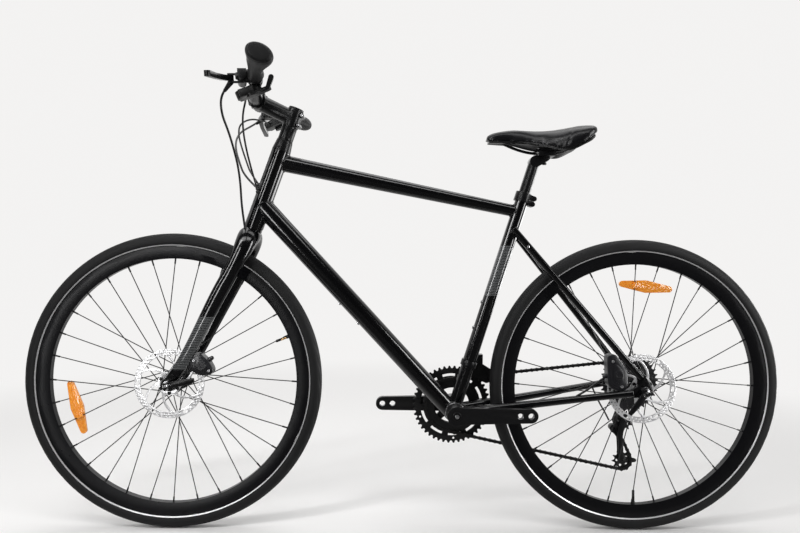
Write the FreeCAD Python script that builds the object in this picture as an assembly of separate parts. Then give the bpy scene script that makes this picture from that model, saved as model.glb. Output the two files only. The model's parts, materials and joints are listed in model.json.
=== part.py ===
"""Hybrid bicycle with a flat handlebar, disc brakes and derailleur gears.

Millimetres. +X is forward, +Y is the rider's left and +Z is up.
The origin lies on the ground, midway between the two axles.
"""
import FreeCAD, Part
import math
import os

# Stance of the bicycle
WHEELBASE = 1090.0
CHAINSTAY_LENGTH = 435.0
BB_DROP = 63.0
HEAD_ANGLE = 70.8
SEAT_ANGLE = 72.7
FORK_RAKE = 52.0
RUNNING_FIT = 0.05
GAP = 0.3

# Tyre and rim
TYRE_RADIUS = 346.0
TYRE_WIDTH = 35.0
TYRE_WALL = 3.0
RIM_EDGE_RADIUS = 316.0
RIM_HOOK = 5.0
RIM_WIDTH = 24.0
RIM_DEPTH = 29.0
RIM_WALL = 2.0
RIM_NOSE_WIDTH = 15.0
RIM_SIDE_HEIGHT = 12.0

# Spokes and hubs
SPOKE_COUNT = 32
SPOKE_CROSSINGS = 3
SPOKE_RADIUS = 1.0
NIPPLE_RADIUS = 1.8
NIPPLE_LENGTH = 12.0
FLANGE_RADIUS = 28.0
FLANGE_HOLE_RADIUS = 24.0
FLANGE_THICKNESS = 3.0
HUB_WAIST_RADIUS = 13.0
LOCKNUT_RADIUS = 8.5
LOCKNUT_LENGTH = 6.0
FRONT_HUB_WIDTH = 100.0
REAR_HUB_WIDTH = 135.0
FRONT_AXLE_RADIUS = 4.5
REAR_AXLE_RADIUS = 5.0
SKEWER_RADIUS = 2.4
QR_PIVOT_HEIGHT = 10.5
QR_EYE_RADIUS = 6.0
QR_PIN_RADIUS = 2.0
QR_LEVER_LENGTH = 66.0
FRONT_QR_ANGLE = 168.0
REAR_QR_ANGLE = -53.0
FRONT_FLANGES = (22.0, -35.0)
REAR_FLANGES = (33.0, -20.5)

# Brake rotors and calipers
ROTOR_RADIUS = 80.0
ROTOR_TRACK = 14.0
ROTOR_THICKNESS = 1.8
ROTOR_ARM_WIDTH = 7.0
ROTOR_ARM_COUNT = 6
ROTOR_CARRIER_RADIUS = 27.0
ROTOR_SPIGOT_RADIUS = 17.4
ROTOR_VENT_RADIUS = 3.0
FRONT_ROTOR_INSET = 10.5
REAR_ROTOR_INSET = 15.3
CALIPER_SLOT_GAP = 0.5
FRONT_CALIPER_Y = (25.0, 53.0)
REAR_CALIPER_Y = (38.0, 66.0)
FRONT_CALIPER_OUTLINE = (
    (-47.0, 66.0), (-71.0, 74.0), (-93.0, 54.0), (-104.0, 34.0), (-99.0, 23.0), (-75.0, 20.0), (-45.0, 34.0))
REAR_CALIPER_OUTLINE = (
    (87.0, 78.0), (67.0, 82.0), (39.0, 46.0), (35.0, 6.0), (53.0, -8.0), (83.0, 6.0))

# Frame tubes
HEAD_TUBE_LENGTH = 188.0
HEAD_TUBE_RADIUS = 22.5
HEAD_TUBE_BORE = 20.0
FORK_LENGTH = 397.0
LOWER_STACK = 7.0
BEARING_HEIGHT = 10.0
TOP_TUBE_HEAD_DROP = 26.0
TOP_TUBE_SEAT_DROP = 46.0
TOP_TUBE_FRONT = (20.0, 17.5)
TOP_TUBE_REAR = (14.0, 13.5)
DOWN_TUBE_HEAD_RISE = 55.0
DOWN_TUBE_BB_OFFSET = 10.0
DOWN_TUBE_FRONT_RADIUS = 23.5
DOWN_TUBE_REAR_RADIUS = 21.0
TUBE_WALL = 2.0
SEAT_TUBE_LENGTH = 540.0
SEAT_TUBE_RADIUS = 16.0
BB_SHELL_RADIUS = 21.0
BB_SHELL_WIDTH = 68.0
CHAINSTAY_RADII = (13.0, 8.5)
SEATSTAY_DROP = 90.0
SEATSTAY_RADIUS = 8.0
DROPOUT_THICKNESS = 6.0
DROPOUT_BOSS = 17.0
HANGER_DROP = 30.0
HANGER_SETBACK = 13.0
HANGER_THREAD_RADIUS = 5.0
BOSS_RADIUS = 2.5
BOSS_SPACING = 64.0
DOWN_TUBE_BOSS_AT = 295.0
SEAT_TUBE_BOSS_AT = 200.0

# Fork and headset
STEERER_RADIUS = 14.3
STEERER_WALL = 2.0
CROWN_RACE_RADIUS = 21.5
FORK_TIP_THICKNESS = 7.0
FORK_TIP_BOSS = 15.0
BLADE_HALF_LENGTH = 16.0
BLADE_SETBACK = 8.0
CROWN_HALF_LENGTH = 25.0
HEADSET_COVER_HEIGHT = 27.0
SPACER_HEIGHT = 17.0
SPACER_COUNT = 2
SPACER_RADIUS = 17.8
TOP_CAP_HEIGHT = 4.0

# Stem, handlebar and grips
STEM_LENGTH = 90.0
STEM_RISE = 6.0
STEM_CLAMP_HEIGHT = 42.0
STEM_WALL = 4.6
STEM_BODY_RADIUS = 18.5
BAR_CLAMP_WIDTH = 46.0
FACEPLATE_GAP = 1.6
BAR_WIDTH = 650.0
BAR_CENTRE_RADIUS = 15.9
BAR_RADIUS = 11.1
BAR_WALL = 2.3
BAR_BEND_AT = 40.0
BAR_TAPER_TO = 105.0
BAR_SWEEP = 11.5
BAR_UPSWEEP = 3.7
GRIP_LENGTH = 130.0
GRIP_RADIUS = 16.0
GRIP_WING = 27.0
GRIP_END_CAP = 5.0

# Brake levers and shifters on the handlebar
SHIFTER_TILT = 24.0
BRAKE_TILT = 5.0
BRAKE_CLAMP_FROM_END = 147.0
BRAKE_CLAMP_WIDTH = 13.0
CLAMP_WALL = 4.5
RESERVOIR_RADIUS = 9.5
RESERVOIR_LENGTH = 62.0
RESERVOIR_INNER = 38.0
RESERVOIR_REACH = 27.0
LEVER_REACH = 50.0
LEVER_DROOP = 14.0
LEVER_PIVOT_IN = 6.0
LEVER_PATH = (
    (0.0, 0.0, 6.5), (22.0, 17.0, 6.5), (64.0, 30.0, 5.0), (119.0, 41.0, 6.0))
LEVER_HEIGHT = 11.0
LEVER_LUG = 4.0
BOOT_LENGTH = 26.0
BOOT_RADIUS = 6.0
BOOT_TIP_RADIUS = 3.6
BOOT_ALONG = (-0.67, 0.55, -0.50)
LEVER_PIN_RADIUS = 2.5
SHIFTER_FROM_BRAKE = -20.0
POD_INNER = 20.0
POD_OUTER = 17.0
POD_REACH = 44.0
POD_DEPTH = 27.0
THUMB_PIVOT = (-6.0, 22.0)
THUMB_RISE = 18.0
THUMB_LEVER_LENGTH = 46.0
THUMB_LEVER_THICKNESS = 5.0

# Crank and chain
CRANK_LENGTH = 170.0
SECOND_PEDAL_HOLE = 145.0
CRANK_INNER_Y = 60.0
CRANK_THICKNESS = 14.0
CRANK_BOSS_RADIUS = 22.0
CRANK_BOSS_INNER_Y = 46.0
CRANK_END_RADIUS = 16.0
PEDAL_THREAD_RADIUS = 7.14
SPINDLE_RADIUS = 8.5
CHAIN_PITCH = 12.7
CHAIN_LEAD = 1.6
ROLLER_RADIUS = 3.875
ROLLER_SEAT = 0.15
CHAIN_INNER_WIDTH = 2.3
CHAIN_PLATE = 0.9
CHAIN_PLATE_RADIUS = 4.2
CHAIN_WAIST = 3.2
CHAIN_PIN_RADIUS = 1.8
SPROCKET_THICKNESS = 1.8
TOOTH_HEIGHT = 2.6
TOOTH_TIP_WIDTH = 1.6
SEAT_OPENING = 52.0
INNER_RING_TEETH = 32
OUTER_RING_TEETH = 46
INNER_RING_Y = -43.5
RING_SPACING = 8.0
RING_BOLT_RADIUS = 52.0
RING_BOLT_COUNT = 4
CASSETTE_TEETH = (11, 13, 15, 17, 20, 23, 26, 30, 34)
COG_SPACING = 4.34
FIRST_COG_Y = -61.04
CHAIN_COG_INDEX = 6
FREEHUB_RADIUS = 16.5
SPACER_WALL = 1.5
LOCKRING_LENGTH = 1.2
CRANK_ANGLE = -0.5
SPIDER_THICKNESS = 6.0
RING_HOLE_AT = 82.0
RING_HOLE_RADIUS = 3.0

# Rear derailleur
PULLEY_TEETH = 11
PULLEY_THICKNESS = 2.0
PULLEY_BOLT_RADIUS = 2.5
GUIDE_BEHIND_AXLE = -9.0
GUIDE_BELOW_AXLE = 96.0
PULLEY_DISTANCE = 97.0
CAGE_PIVOT_FROM_GUIDE = (22.0, -20.0)
CAGE_ANGLE_GUESS = 2.0
CAGE_HALF_GAP = 4.6
CAGE_PLATE = 1.7
CAGE_PIN_RADIUS = 4.0
CAGE_TAIL = (-34.0, 0.0, -2.0)
KNUCKLE_RADIUS = 8.5
KNUCKLE_Y = (-58.0, -43.0)
LUG_FROM_CAGE_PIVOT = (-8.0, -52.0, 16.0)
BRACKET_RADIUS = 11.0
BRACKET_WIDTH = 11.0
BRACKET_STUB_LENGTH = 13.0
LINK_REACH = (25.0, 14.4, -50.0)
LINK_SWING = (-0.5, 0.866, 0.0)
LINK_PIN_RADIUS = 2.0
LINK_LUG_RADIUS = 5.5
LINK_LUG_WIDTH = 8.0
LINK_EAR = 3.5

# Front derailleur
FD_BAND_AT = 108.0
FD_BAND_HEIGHT = 14.0
FD_BAND_WALL = 3.0
FD_PIVOT_FROM_BB = (-55.4, -25.0, 122.0)
FD_EYE_LENGTH = 13.4
FD_CHEEK = 7.0
FD_CHAIN_Y = -42.4
FD_CAGE_HALF_GAP = 5.2
FD_CAGE_PLATE = 1.2
FD_PIN_RADIUS = 2.5

# Seatpost and saddle
POST_RADIUS = 13.6
POST_INSERTION = 130.0
POST_STRAIGHT_EXTENT = 78.0
SEAT_COLLAR_HEIGHT = 22.0
SEAT_COLLAR_WALL = 4.0
SEAT_BOLT_RADIUS = 3.0
RAIL_RADIUS = 3.5
RAIL_SPACING = 44.0
CLAMP_LENGTH = 40.0
CLAMP_FROM_SEAT_TUBE = (-46.8, 0.0, 98.4)
RAIL_PATH = (
    (62.2, 9.0, 122.4), (17.2, 20.0, 106.4), (-16.8, 22.0, 98.4), (-72.8, 22.0, 98.4),
    (-106.8, 25.0, 107.4), (-133.8, 30.0, 128.4))
SADDLE_SECTIONS = (
    (97.7, 10.0, 137.9, 135.4, 9.5, 121.4, 122.4),
    (87.2, 17.0, 142.9, 138.9, 16.5, 119.4, 121.9),
    (70.2, 20.0, 146.4, 140.9, 20.0, 118.9, 122.2),
    (35.2, 21.5, 147.4, 140.4, 23.0, 117.4, 122.4),
    (0.2, 24.0, 145.2, 138.4, 28.0, 114.4, 122.4),
    (-29.8, 31.0, 144.2, 136.4, 40.0, 108.4, 122.9),
    (-54.8, 43.0, 145.4, 136.4, 54.0, 98.9, 123.4),
    (-75.8, 54.0, 147.9, 138.4, 65.0, 92.4, 123.9),
    (-98.8, 63.0, 151.9, 142.4, 73.0, 96.4, 124.9),
    (-124.8, 67.0, 157.4, 148.4, 77.0, 111.4, 127.4),
    (-145.8, 65.0, 161.4, 153.9, 73.0, 128.4, 134.4),
    (-157.8, 53.0, 159.9, 153.9, 58.0, 141.4, 143.9))
SADDLE_BASE_THICKNESS = 4.0

# Hoses and cables
HOSE_RADIUS = 2.5
CABLE_RADIUS = 2.2
HOSE_LEAD = 18.0
CABLE_LEAD = 28.0
FRONT_HOSE_ROUTE = (
    (-140.0, 145.0, 597.0), (-149.0, 122.0, 566.0), (-156.0, 98.0, 530.0), (-161.0, 76.0, 494.0),
    (-162.0, 56.0, 456.0), (-161.0, 40.0, 416.0), (-164.0, 28.0, 376.0), (-168.0, 21.0, 344.0))
REAR_HOSE_ROUTE = (
    (-119.0, -128.0, 610.0), (-115.0, -96.0, 582.0), (-123.0, -66.0, 552.0), (-138.0, -38.0, 520.0),
    (-157.0, -8.0, 483.0))
LEFT_CABLE_ROUTE = (
    (-175.0, 100.0, 609.0), (-172.0, 84.0, 579.0), (-174.0, 64.0, 544.0), (-179.0, 44.0, 510.0),
    (-185.0, 28.0, 480.0))
RIGHT_CABLE_ROUTE = (
    (-153.0, -98.0, 639.0), (-127.0, -84.0, 622.0), (-129.0, -64.0, 590.0), (-143.0, -42.0, 554.0),
    (-160.0, -20.0, 516.0), (-170.0, -9.0, 493.0))
REAR_HOSE_PORT = (491.0, 22.0)
RIGHT_CABLE_PORT = (500.0, 2.0)
LEFT_CABLE_PORT = (484.0, 44.0)
CALIPER_HOSE_ROUTE = (
    (153.0, 55.0, -18.0), (129.0, 56.0, -4.0), (105.0, 56.0, 15.0), (84.2, 54.0, 28.0))
DERAILLEUR_LOOP_ROUTE = (
    (78.0, -64.0, -21.0), (67.0, -68.0, -42.0), (55.0, -70.0, -65.0), (43.0, -67.0, -85.0),
    (36.0, -60.0, -102.0))

# Reflectors on the spokes
REFLECTOR_LENGTH = 128.0
REFLECTOR_HEIGHT = 30.0
REFLECTOR_THICKNESS = 6.0
REFLECTOR_OFFSET = 236.0
FRONT_REFLECTOR_ANGLE = -16.0
REAR_REFLECTOR_ANGLE = 96.0
REFLECTOR_CLIP_RADIUS = 3.5

V = FreeCAD.Vector
X_AXIS = V(1, 0, 0)
Y_AXIS = V(0, 1, 0)
Z_AXIS = V(0, 0, 1)
os.makedirs("parts", exist_ok=True)
nodes = {}


def unit(vector):
    """The vector at length one."""
    return vector * (1.0 / vector.Length)


def cylinder(start, axis, radius, length):
    """Round bar from start, along axis."""
    return Part.makeCylinder(radius, length, start, axis)


def bar_between(start, end, radius):
    """Round bar between two points."""
    return cylinder(start, end - start, radius, (end - start).Length)


def hollow(start, axis, outer, inner, length):
    """Round tube from start, along axis."""
    return cylinder(start, axis, outer, length).cut(cylinder(start, axis, inner, length))


def circle_wire(centre, normal, radius):
    """Closed circle facing along normal."""
    return Part.Wire(Part.Circle(centre, normal, radius).toShape())


def ellipse_wire(centre, normal, major_direction, major, minor):
    """Closed ellipse facing along normal, with its long axis along major_direction."""
    side = unit(normal.cross(major_direction))
    tip = centre + unit(major_direction) * major
    flank = centre + side * minor
    return Part.Wire(Part.Ellipse(tip, flank, centre).toShape())


def loft(wires, ruled=False):
    """Closed solid through a row of sections."""
    return Part.makeLoft(wires, True, ruled)


def prism(points, extrusion):
    """Flat outline pushed along a vector."""
    return Part.Face(Part.makePolygon(points + points[:1])).extrude(extrusion)


def turned(profile, centre):
    """Solid turned about the Y axis through centre, from (y, radius) points."""
    points = [centre + V(0, y, radius) for y, radius in profile]
    face = Part.Face(Part.makePolygon(points + points[:1]))
    return face.revolve(centre, Y_AXIS, 360)


def capsule(first, first_radius, second, second_radius, axis, thickness):
    """Plate around two circles and their outer tangents, from the circles' plane along axis."""
    axis = unit(axis)
    along = second - first
    distance = along.Length
    along = unit(along)
    across = axis.cross(along)
    lean = (first_radius - second_radius) / distance
    rise = math.sqrt(1 - lean * lean)
    upper = along * lean + across * rise
    lower = along * lean - across * rise
    a = first + upper * first_radius
    b = second + upper * second_radius
    c = second + lower * second_radius
    d = first + lower * first_radius
    edges = [
        Part.LineSegment(a, b).toShape(),
        Part.Arc(b, second + along * second_radius, c).toShape(),
        Part.LineSegment(c, d).toShape(),
        Part.Arc(d, first - along * first_radius, a).toShape(),
    ]
    return Part.Face(Part.Wire(edges)).extrude(axis * thickness)


def mirrored(shape):
    """The same shape on the other side of the bicycle."""
    return shape.mirror(V(0, 0, 0), Y_AXIS)


def turn(vector, angle):
    """A vector of the XZ plane turned from +X towards +Z, in radians."""
    cosine = math.cos(angle)
    sine = math.sin(angle)
    return V(vector.x * cosine - vector.z * sine, vector.y, vector.x * sine + vector.z * cosine)


def routed_tube(points, radius, name):
    """Tube along straight runs joined by tangent arcs, each as large as its two runs allow."""
    edges = []
    start = points[0]
    radii = []
    for before, corner, after in zip(points, points[1:], points[2:]):
        into = unit(corner - before)
        out = unit(after - corner)
        half_turn = into.getAngle(out) / 2
        reach = 0.45 * min((corner - before).Length, (after - corner).Length)
        bend_radius = reach / math.tan(half_turn)
        radii.append(bend_radius)
        first = corner - into * reach
        last = corner + out * reach
        inward = unit(out - into)
        middle = corner + inward * (bend_radius / math.cos(half_turn) - bend_radius)
        edges.append(Part.LineSegment(start, first).toShape())
        edges.append(Part.Arc(first, middle, last).toShape())
        start = last
    edges.append(Part.LineSegment(start, points[-1]).toShape())
    path = Part.Wire(edges)
    section = circle_wire(points[0], points[1] - points[0], radius)
    tube = path.makePipeShell([section], True, False)
    ideal = math.pi * radius * radius * path.Length
    print(name, "length", round(path.Length), "radii", [round(r) for r in radii],
          "volume share", round(tube.Volume / ideal, 4))
    return tube


def add(node, *solids):
    """Keeps a node as one solid, or as a group of separate solids."""
    kept = []
    for solid in solids:
        kept.extend(solid.Solids)
    nodes[node] = kept[0] if len(kept) == 1 else Part.makeCompound(kept)


# Reference points and axes
front_axle = V(WHEELBASE / 2, 0, TYRE_RADIUS)
rear_axle = V(-WHEELBASE / 2, 0, TYRE_RADIUS)
bb_reach = math.sqrt(CHAINSTAY_LENGTH ** 2 - BB_DROP ** 2)
bb_centre = rear_axle + V(bb_reach, 0, -BB_DROP)
head_tilt = math.radians(HEAD_ANGLE)
seat_tilt = math.radians(SEAT_ANGLE)
steer_up = V(-math.cos(head_tilt), 0, math.sin(head_tilt))
steer_forward = V(math.sin(head_tilt), 0, math.cos(head_tilt))
steer_foot = front_axle - steer_forward * FORK_RAKE
seat_up = V(-math.cos(seat_tilt), 0, math.sin(seat_tilt))
seat_back = V(-math.sin(seat_tilt), 0, -math.cos(seat_tilt))


def on_steerer(height):
    """Point of the steering axis, measured from the foot of the fork rake."""
    return steer_foot + steer_up * height


def on_seat_tube(height):
    """Point of the seat tube axis, measured from the bottom bracket."""
    return bb_centre + seat_up * height


# Head tube and headset bearings
head_bottom = FORK_LENGTH + LOWER_STACK
head_top = head_bottom + HEAD_TUBE_LENGTH
head_solid = cylinder(on_steerer(head_bottom), steer_up, HEAD_TUBE_RADIUS, HEAD_TUBE_LENGTH)
head_bore = cylinder(on_steerer(head_bottom), steer_up, HEAD_TUBE_BORE, HEAD_TUBE_LENGTH)
bearing_bore = STEERER_RADIUS + RUNNING_FIT
lower_bearing = hollow(on_steerer(head_bottom), steer_up, HEAD_TUBE_BORE, bearing_bore, BEARING_HEIGHT)
upper_bearing = hollow(
    on_steerer(head_top - BEARING_HEIGHT), steer_up, HEAD_TUBE_BORE, bearing_bore, BEARING_HEIGHT)
add("head_tube", head_solid.cut(head_bore))
add("headset_bearings", lower_bearing, upper_bearing)

# Seat tube, open at the top for the seatpost, and bottom bracket shell
shell_start = bb_centre - Y_AXIS * (BB_SHELL_WIDTH / 2)
shell_solid = cylinder(shell_start, Y_AXIS, BB_SHELL_RADIUS, BB_SHELL_WIDTH)
seat_solid = cylinder(bb_centre, seat_up, SEAT_TUBE_RADIUS, SEAT_TUBE_LENGTH)
seat_bore = cylinder(bb_centre, seat_up, POST_RADIUS + RUNNING_FIT, SEAT_TUBE_LENGTH)
cartridge_radius = SPINDLE_RADIUS + RUNNING_FIT
bb_bore_radius = BB_SHELL_RADIUS - 3.5
shell_bore = cylinder(shell_start, Y_AXIS, bb_bore_radius, BB_SHELL_WIDTH)
seat_tube = seat_solid.cut(shell_solid).cut(seat_bore)

# Cartridge bottom bracket with a flange at each end of the shell
cup_flange = 2.0
cartridge = turned([
    (-BB_SHELL_WIDTH / 2 - cup_flange, cartridge_radius),
    (-BB_SHELL_WIDTH / 2 - cup_flange, BB_SHELL_RADIUS - 1),
    (-BB_SHELL_WIDTH / 2, BB_SHELL_RADIUS - 1),
    (-BB_SHELL_WIDTH / 2, bb_bore_radius),
    (BB_SHELL_WIDTH / 2, bb_bore_radius),
    (BB_SHELL_WIDTH / 2, BB_SHELL_RADIUS - 1),
    (BB_SHELL_WIDTH / 2 + cup_flange, BB_SHELL_RADIUS - 1),
    (BB_SHELL_WIDTH / 2 + cup_flange, cartridge_radius),
], bb_centre)
add("bottom_bracket", cartridge)


def oval_tube(start, end, front_size, rear_size, wall, overrun):
    """Tapered oval tube between two points, with its bore running past both ends."""
    along = unit(end - start)
    upright = unit(V(0, 1, 0).cross(along))
    outer = loft([
        ellipse_wire(start, along, upright, front_size[0], front_size[1]),
        ellipse_wire(end, along, upright, rear_size[0], rear_size[1])], True)
    bore = loft([
        ellipse_wire(start - along * overrun, along, upright, front_size[0] - wall, front_size[1] - wall),
        ellipse_wire(end + along * overrun, along, upright, rear_size[0] - wall, rear_size[1] - wall)], True)
    return outer.cut(bore)


# Top tube and down tube, mitred to the tubes that they meet
top_front = on_steerer(head_top - TOP_TUBE_HEAD_DROP)
top_rear = on_seat_tube(SEAT_TUBE_LENGTH - TOP_TUBE_SEAT_DROP)
top_tube = oval_tube(top_front, top_rear, TOP_TUBE_FRONT, TOP_TUBE_REAR, TUBE_WALL, HEAD_TUBE_RADIUS)
head_reach = cylinder(
    on_steerer(head_bottom - 2 * HEAD_TUBE_RADIUS), steer_up, HEAD_TUBE_RADIUS, HEAD_TUBE_LENGTH + 4 * HEAD_TUBE_RADIUS)
add("top_tube", top_tube.cut(head_reach).cut(seat_solid))
down_front = on_steerer(head_bottom + DOWN_TUBE_HEAD_RISE)
down_rear = bb_centre - Z_AXIS * DOWN_TUBE_BB_OFFSET
down_tube = oval_tube(
    down_front, down_rear, (DOWN_TUBE_FRONT_RADIUS, DOWN_TUBE_FRONT_RADIUS - GAP),
    (DOWN_TUBE_REAR_RADIUS, DOWN_TUBE_REAR_RADIUS - GAP), TUBE_WALL, HEAD_TUBE_RADIUS)
down_tube = down_tube.cut(head_reach).cut(shell_solid).cut(seat_solid)
down_along = unit(down_rear - down_front)
down_normal = V(-down_along.z, 0, down_along.x)
seat_normal = seat_back * -1
down_bosses = [down_front + down_along * (DOWN_TUBE_BOSS_AT + i * BOSS_SPACING) for i in range(2)]
seat_bosses = [on_seat_tube(SEAT_TUBE_BOSS_AT + i * BOSS_SPACING) for i in range(2)]
for down_boss, seat_boss in zip(down_bosses, seat_bosses):
    down_tube = down_tube.cut(cylinder(down_boss, down_normal, BOSS_RADIUS, 2 * DOWN_TUBE_FRONT_RADIUS))
    seat_tube = seat_tube.cut(cylinder(seat_boss, seat_normal, BOSS_RADIUS, 2 * SEAT_TUBE_RADIUS))
add("down_tube", down_tube)
add("seat_tube", seat_tube, shell_solid.cut(shell_bore))


# Rear dropouts, chainstays and seatstays
dropout_mid = REAR_HUB_WIDTH / 2 + DROPOUT_THICKNESS / 2
dropout_face = rear_axle + Y_AXIS * (REAR_HUB_WIDTH / 2)
chainstay_end = rear_axle + V(27, dropout_mid, -7)
seatstay_end = rear_axle + V(9, dropout_mid, 28)
rear_slot = REAR_AXLE_RADIUS + RUNNING_FIT


def axle_slot(axle, y_from, radius, thickness, depth):
    """Open slot that lets an axle drop out downwards."""
    start = V(axle.x, y_from, axle.z)
    return capsule(start, radius, start - Z_AXIS * depth, radius, Y_AXIS, thickness)


def in_dropout_plane(point):
    """The point moved to the inner face of the left dropout."""
    return V(point.x, dropout_face.y, point.z)


left_dropout = capsule(
    dropout_face, DROPOUT_BOSS, in_dropout_plane(chainstay_end), 10, Y_AXIS, DROPOUT_THICKNESS)
left_dropout = left_dropout.fuse(capsule(
    dropout_face, DROPOUT_BOSS, in_dropout_plane(seatstay_end), 10, Y_AXIS, DROPOUT_THICKNESS))
left_dropout = left_dropout.cut(axle_slot(
    rear_axle, dropout_face.y, rear_slot, DROPOUT_THICKNESS, DROPOUT_BOSS + 2)).removeSplitter()
right_dropout = mirrored(left_dropout)
hanger_bolt = rear_axle + V(-HANGER_SETBACK, -dropout_mid, -HANGER_DROP)
hanger_face = hanger_bolt - Y_AXIS * (DROPOUT_THICKNESS / 2)
hanger = capsule(
    hanger_face + V(0, 0, HANGER_DROP - 6), 8, hanger_face, 10.5, Y_AXIS, DROPOUT_THICKNESS)
hanger_thread = cylinder(hanger_face, Y_AXIS, HANGER_THREAD_RADIUS, DROPOUT_THICKNESS)
hanger = hanger.cut(right_dropout).cut(hanger_thread).cut(axle_slot(
    rear_axle, -dropout_face.y - DROPOUT_THICKNESS, rear_slot, DROPOUT_THICKNESS, HANGER_DROP))
hanger = max(hanger.Solids, key=lambda solid: solid.Volume)
add("rear_dropouts", left_dropout, right_dropout, hanger)


def stay(points, radii):
    """Tapered tube through a row of points."""
    wires = []
    for i, point in enumerate(points):
        before = points[max(i - 1, 0)]
        after = points[min(i + 1, len(points) - 1)]
        wires.append(circle_wire(point, after - before, radii[i]))
    return loft(wires)


stay_root = bb_centre + V(-9, BB_SHELL_WIDTH / 2 - 11, -3)
stay_bend = bb_centre + V(-100, 33, 11)
chainstay_radii = (CHAINSTAY_RADII[0], (CHAINSTAY_RADII[0] + CHAINSTAY_RADII[1]) / 2, CHAINSTAY_RADII[1])
left_chainstay = stay((stay_root, stay_bend, chainstay_end), chainstay_radii)
shell_reach = cylinder(bb_centre - Y_AXIS * BB_SHELL_WIDTH, Y_AXIS, BB_SHELL_RADIUS, 2 * BB_SHELL_WIDTH)
left_chainstay = left_chainstay.cut(shell_reach).cut(left_dropout)
left_chainstay = left_chainstay.cut(cylinder(
    in_dropout_plane(rear_axle) - Y_AXIS * 20, Y_AXIS, DROPOUT_BOSS, 50))
left_chainstay = max(left_chainstay.Solids, key=lambda solid: solid.Volume)
add("chainstays", left_chainstay, mirrored(left_chainstay))
seatstay_root = on_seat_tube(SEAT_TUBE_LENGTH - SEATSTAY_DROP) + V(0, SEAT_TUBE_RADIUS - 2, 0)
left_seatstay = stay((seatstay_root, seatstay_end), (SEATSTAY_RADIUS, SEATSTAY_RADIUS))
left_seatstay = left_seatstay.cut(seat_solid).cut(left_dropout)
left_seatstay = max(left_seatstay.Solids, key=lambda solid: solid.Volume)
add("seatstays", left_seatstay, mirrored(left_seatstay))

# Seat collar with two cross bolts behind the seat tube
collar_low = SEAT_TUBE_LENGTH - SEAT_COLLAR_HEIGHT
collar = cylinder(on_seat_tube(collar_low), seat_up, SEAT_TUBE_RADIUS + SEAT_COLLAR_WALL, SEAT_COLLAR_HEIGHT)
lug_width = 22.0
lug_reach = SEAT_TUBE_RADIUS + SEAT_COLLAR_WALL + 5
seat_bolts = []
for bolt_height in (collar_low + 2, SEAT_TUBE_LENGTH - 6.5):
    bolt_axis = on_seat_tube(bolt_height) + seat_back * lug_reach
    lug_start = bolt_axis - Y_AXIS * (lug_width / 2)
    lug = capsule(lug_start, 6, lug_start - seat_back * 9, 6, Y_AXIS, lug_width)
    collar = collar.fuse(lug)
    bolt = cylinder(lug_start - Y_AXIS * 3, Y_AXIS, SEAT_BOLT_RADIUS, lug_width + 4)
    seat_bolts.append(bolt.fuse(cylinder(lug_start - Y_AXIS * 3, Y_AXIS, SEAT_BOLT_RADIUS + 2, 3)))
slit = prism([
    on_seat_tube(collar_low - 5) + seat_back * (SEAT_TUBE_RADIUS / 2) - Y_AXIS,
    on_seat_tube(collar_low - 5) + seat_back * (lug_reach + 10) - Y_AXIS,
    on_seat_tube(SEAT_TUBE_LENGTH + 5) + seat_back * (lug_reach + 10) - Y_AXIS,
    on_seat_tube(SEAT_TUBE_LENGTH + 5) + seat_back * (SEAT_TUBE_RADIUS / 2) - Y_AXIS], Y_AXIS * 2)
collar_bore = cylinder(
    on_seat_tube(collar_low - SEAT_COLLAR_HEIGHT), seat_up, SEAT_TUBE_RADIUS, 3 * SEAT_COLLAR_HEIGHT)
collar = collar.removeSplitter().cut(collar_bore).cut(slit)
for bolt in seat_bolts:
    collar = collar.cut(bolt)
add("seat_clamp", collar, *seat_bolts)

# Fork: steerer with its crown race, and two blades that meet in the crown
stack_start = head_top + GAP
spacer_start = stack_start + HEADSET_COVER_HEIGHT
stem_start = spacer_start + SPACER_COUNT * SPACER_HEIGHT
stem_top = stem_start + STEM_CLAMP_HEIGHT
crown_height = FORK_LENGTH - 12
steerer_top = stem_top - 3
race_top = FORK_LENGTH + LOWER_STACK - GAP
steerer = cylinder(on_steerer(crown_height), steer_up, STEERER_RADIUS, steerer_top - crown_height)
steerer = steerer.fuse(cylinder(on_steerer(crown_height), steer_up, CROWN_RACE_RADIUS, race_top - crown_height))
steerer_bore = STEERER_RADIUS - STEERER_WALL
steerer_solid = steerer.removeSplitter()
steerer = steerer_solid.cut(cylinder(
    on_steerer(race_top), steer_up, steerer_bore, steerer_top - race_top))
crown = on_steerer(crown_height)
leg_length = (crown - front_axle).Length
leg_up = unit(crown - front_axle)
leg_forward = V(leg_up.z, 0, -leg_up.x)
tip_mid = FRONT_HUB_WIDTH / 2 + FORK_TIP_THICKNESS / 2


def leg_section(height, side, back, half_long, half_wide, lean):
    """Oval section of the left blade, set back from the axle line; lean turns it to the crown, in degrees."""
    angle = math.radians(lean)
    normal = leg_up * math.cos(angle) - Y_AXIS * math.sin(angle)
    centre = front_axle + leg_up * height + Y_AXIS * side - leg_forward * back
    return ellipse_wire(centre, normal, leg_forward, half_long, half_wide)


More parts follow.
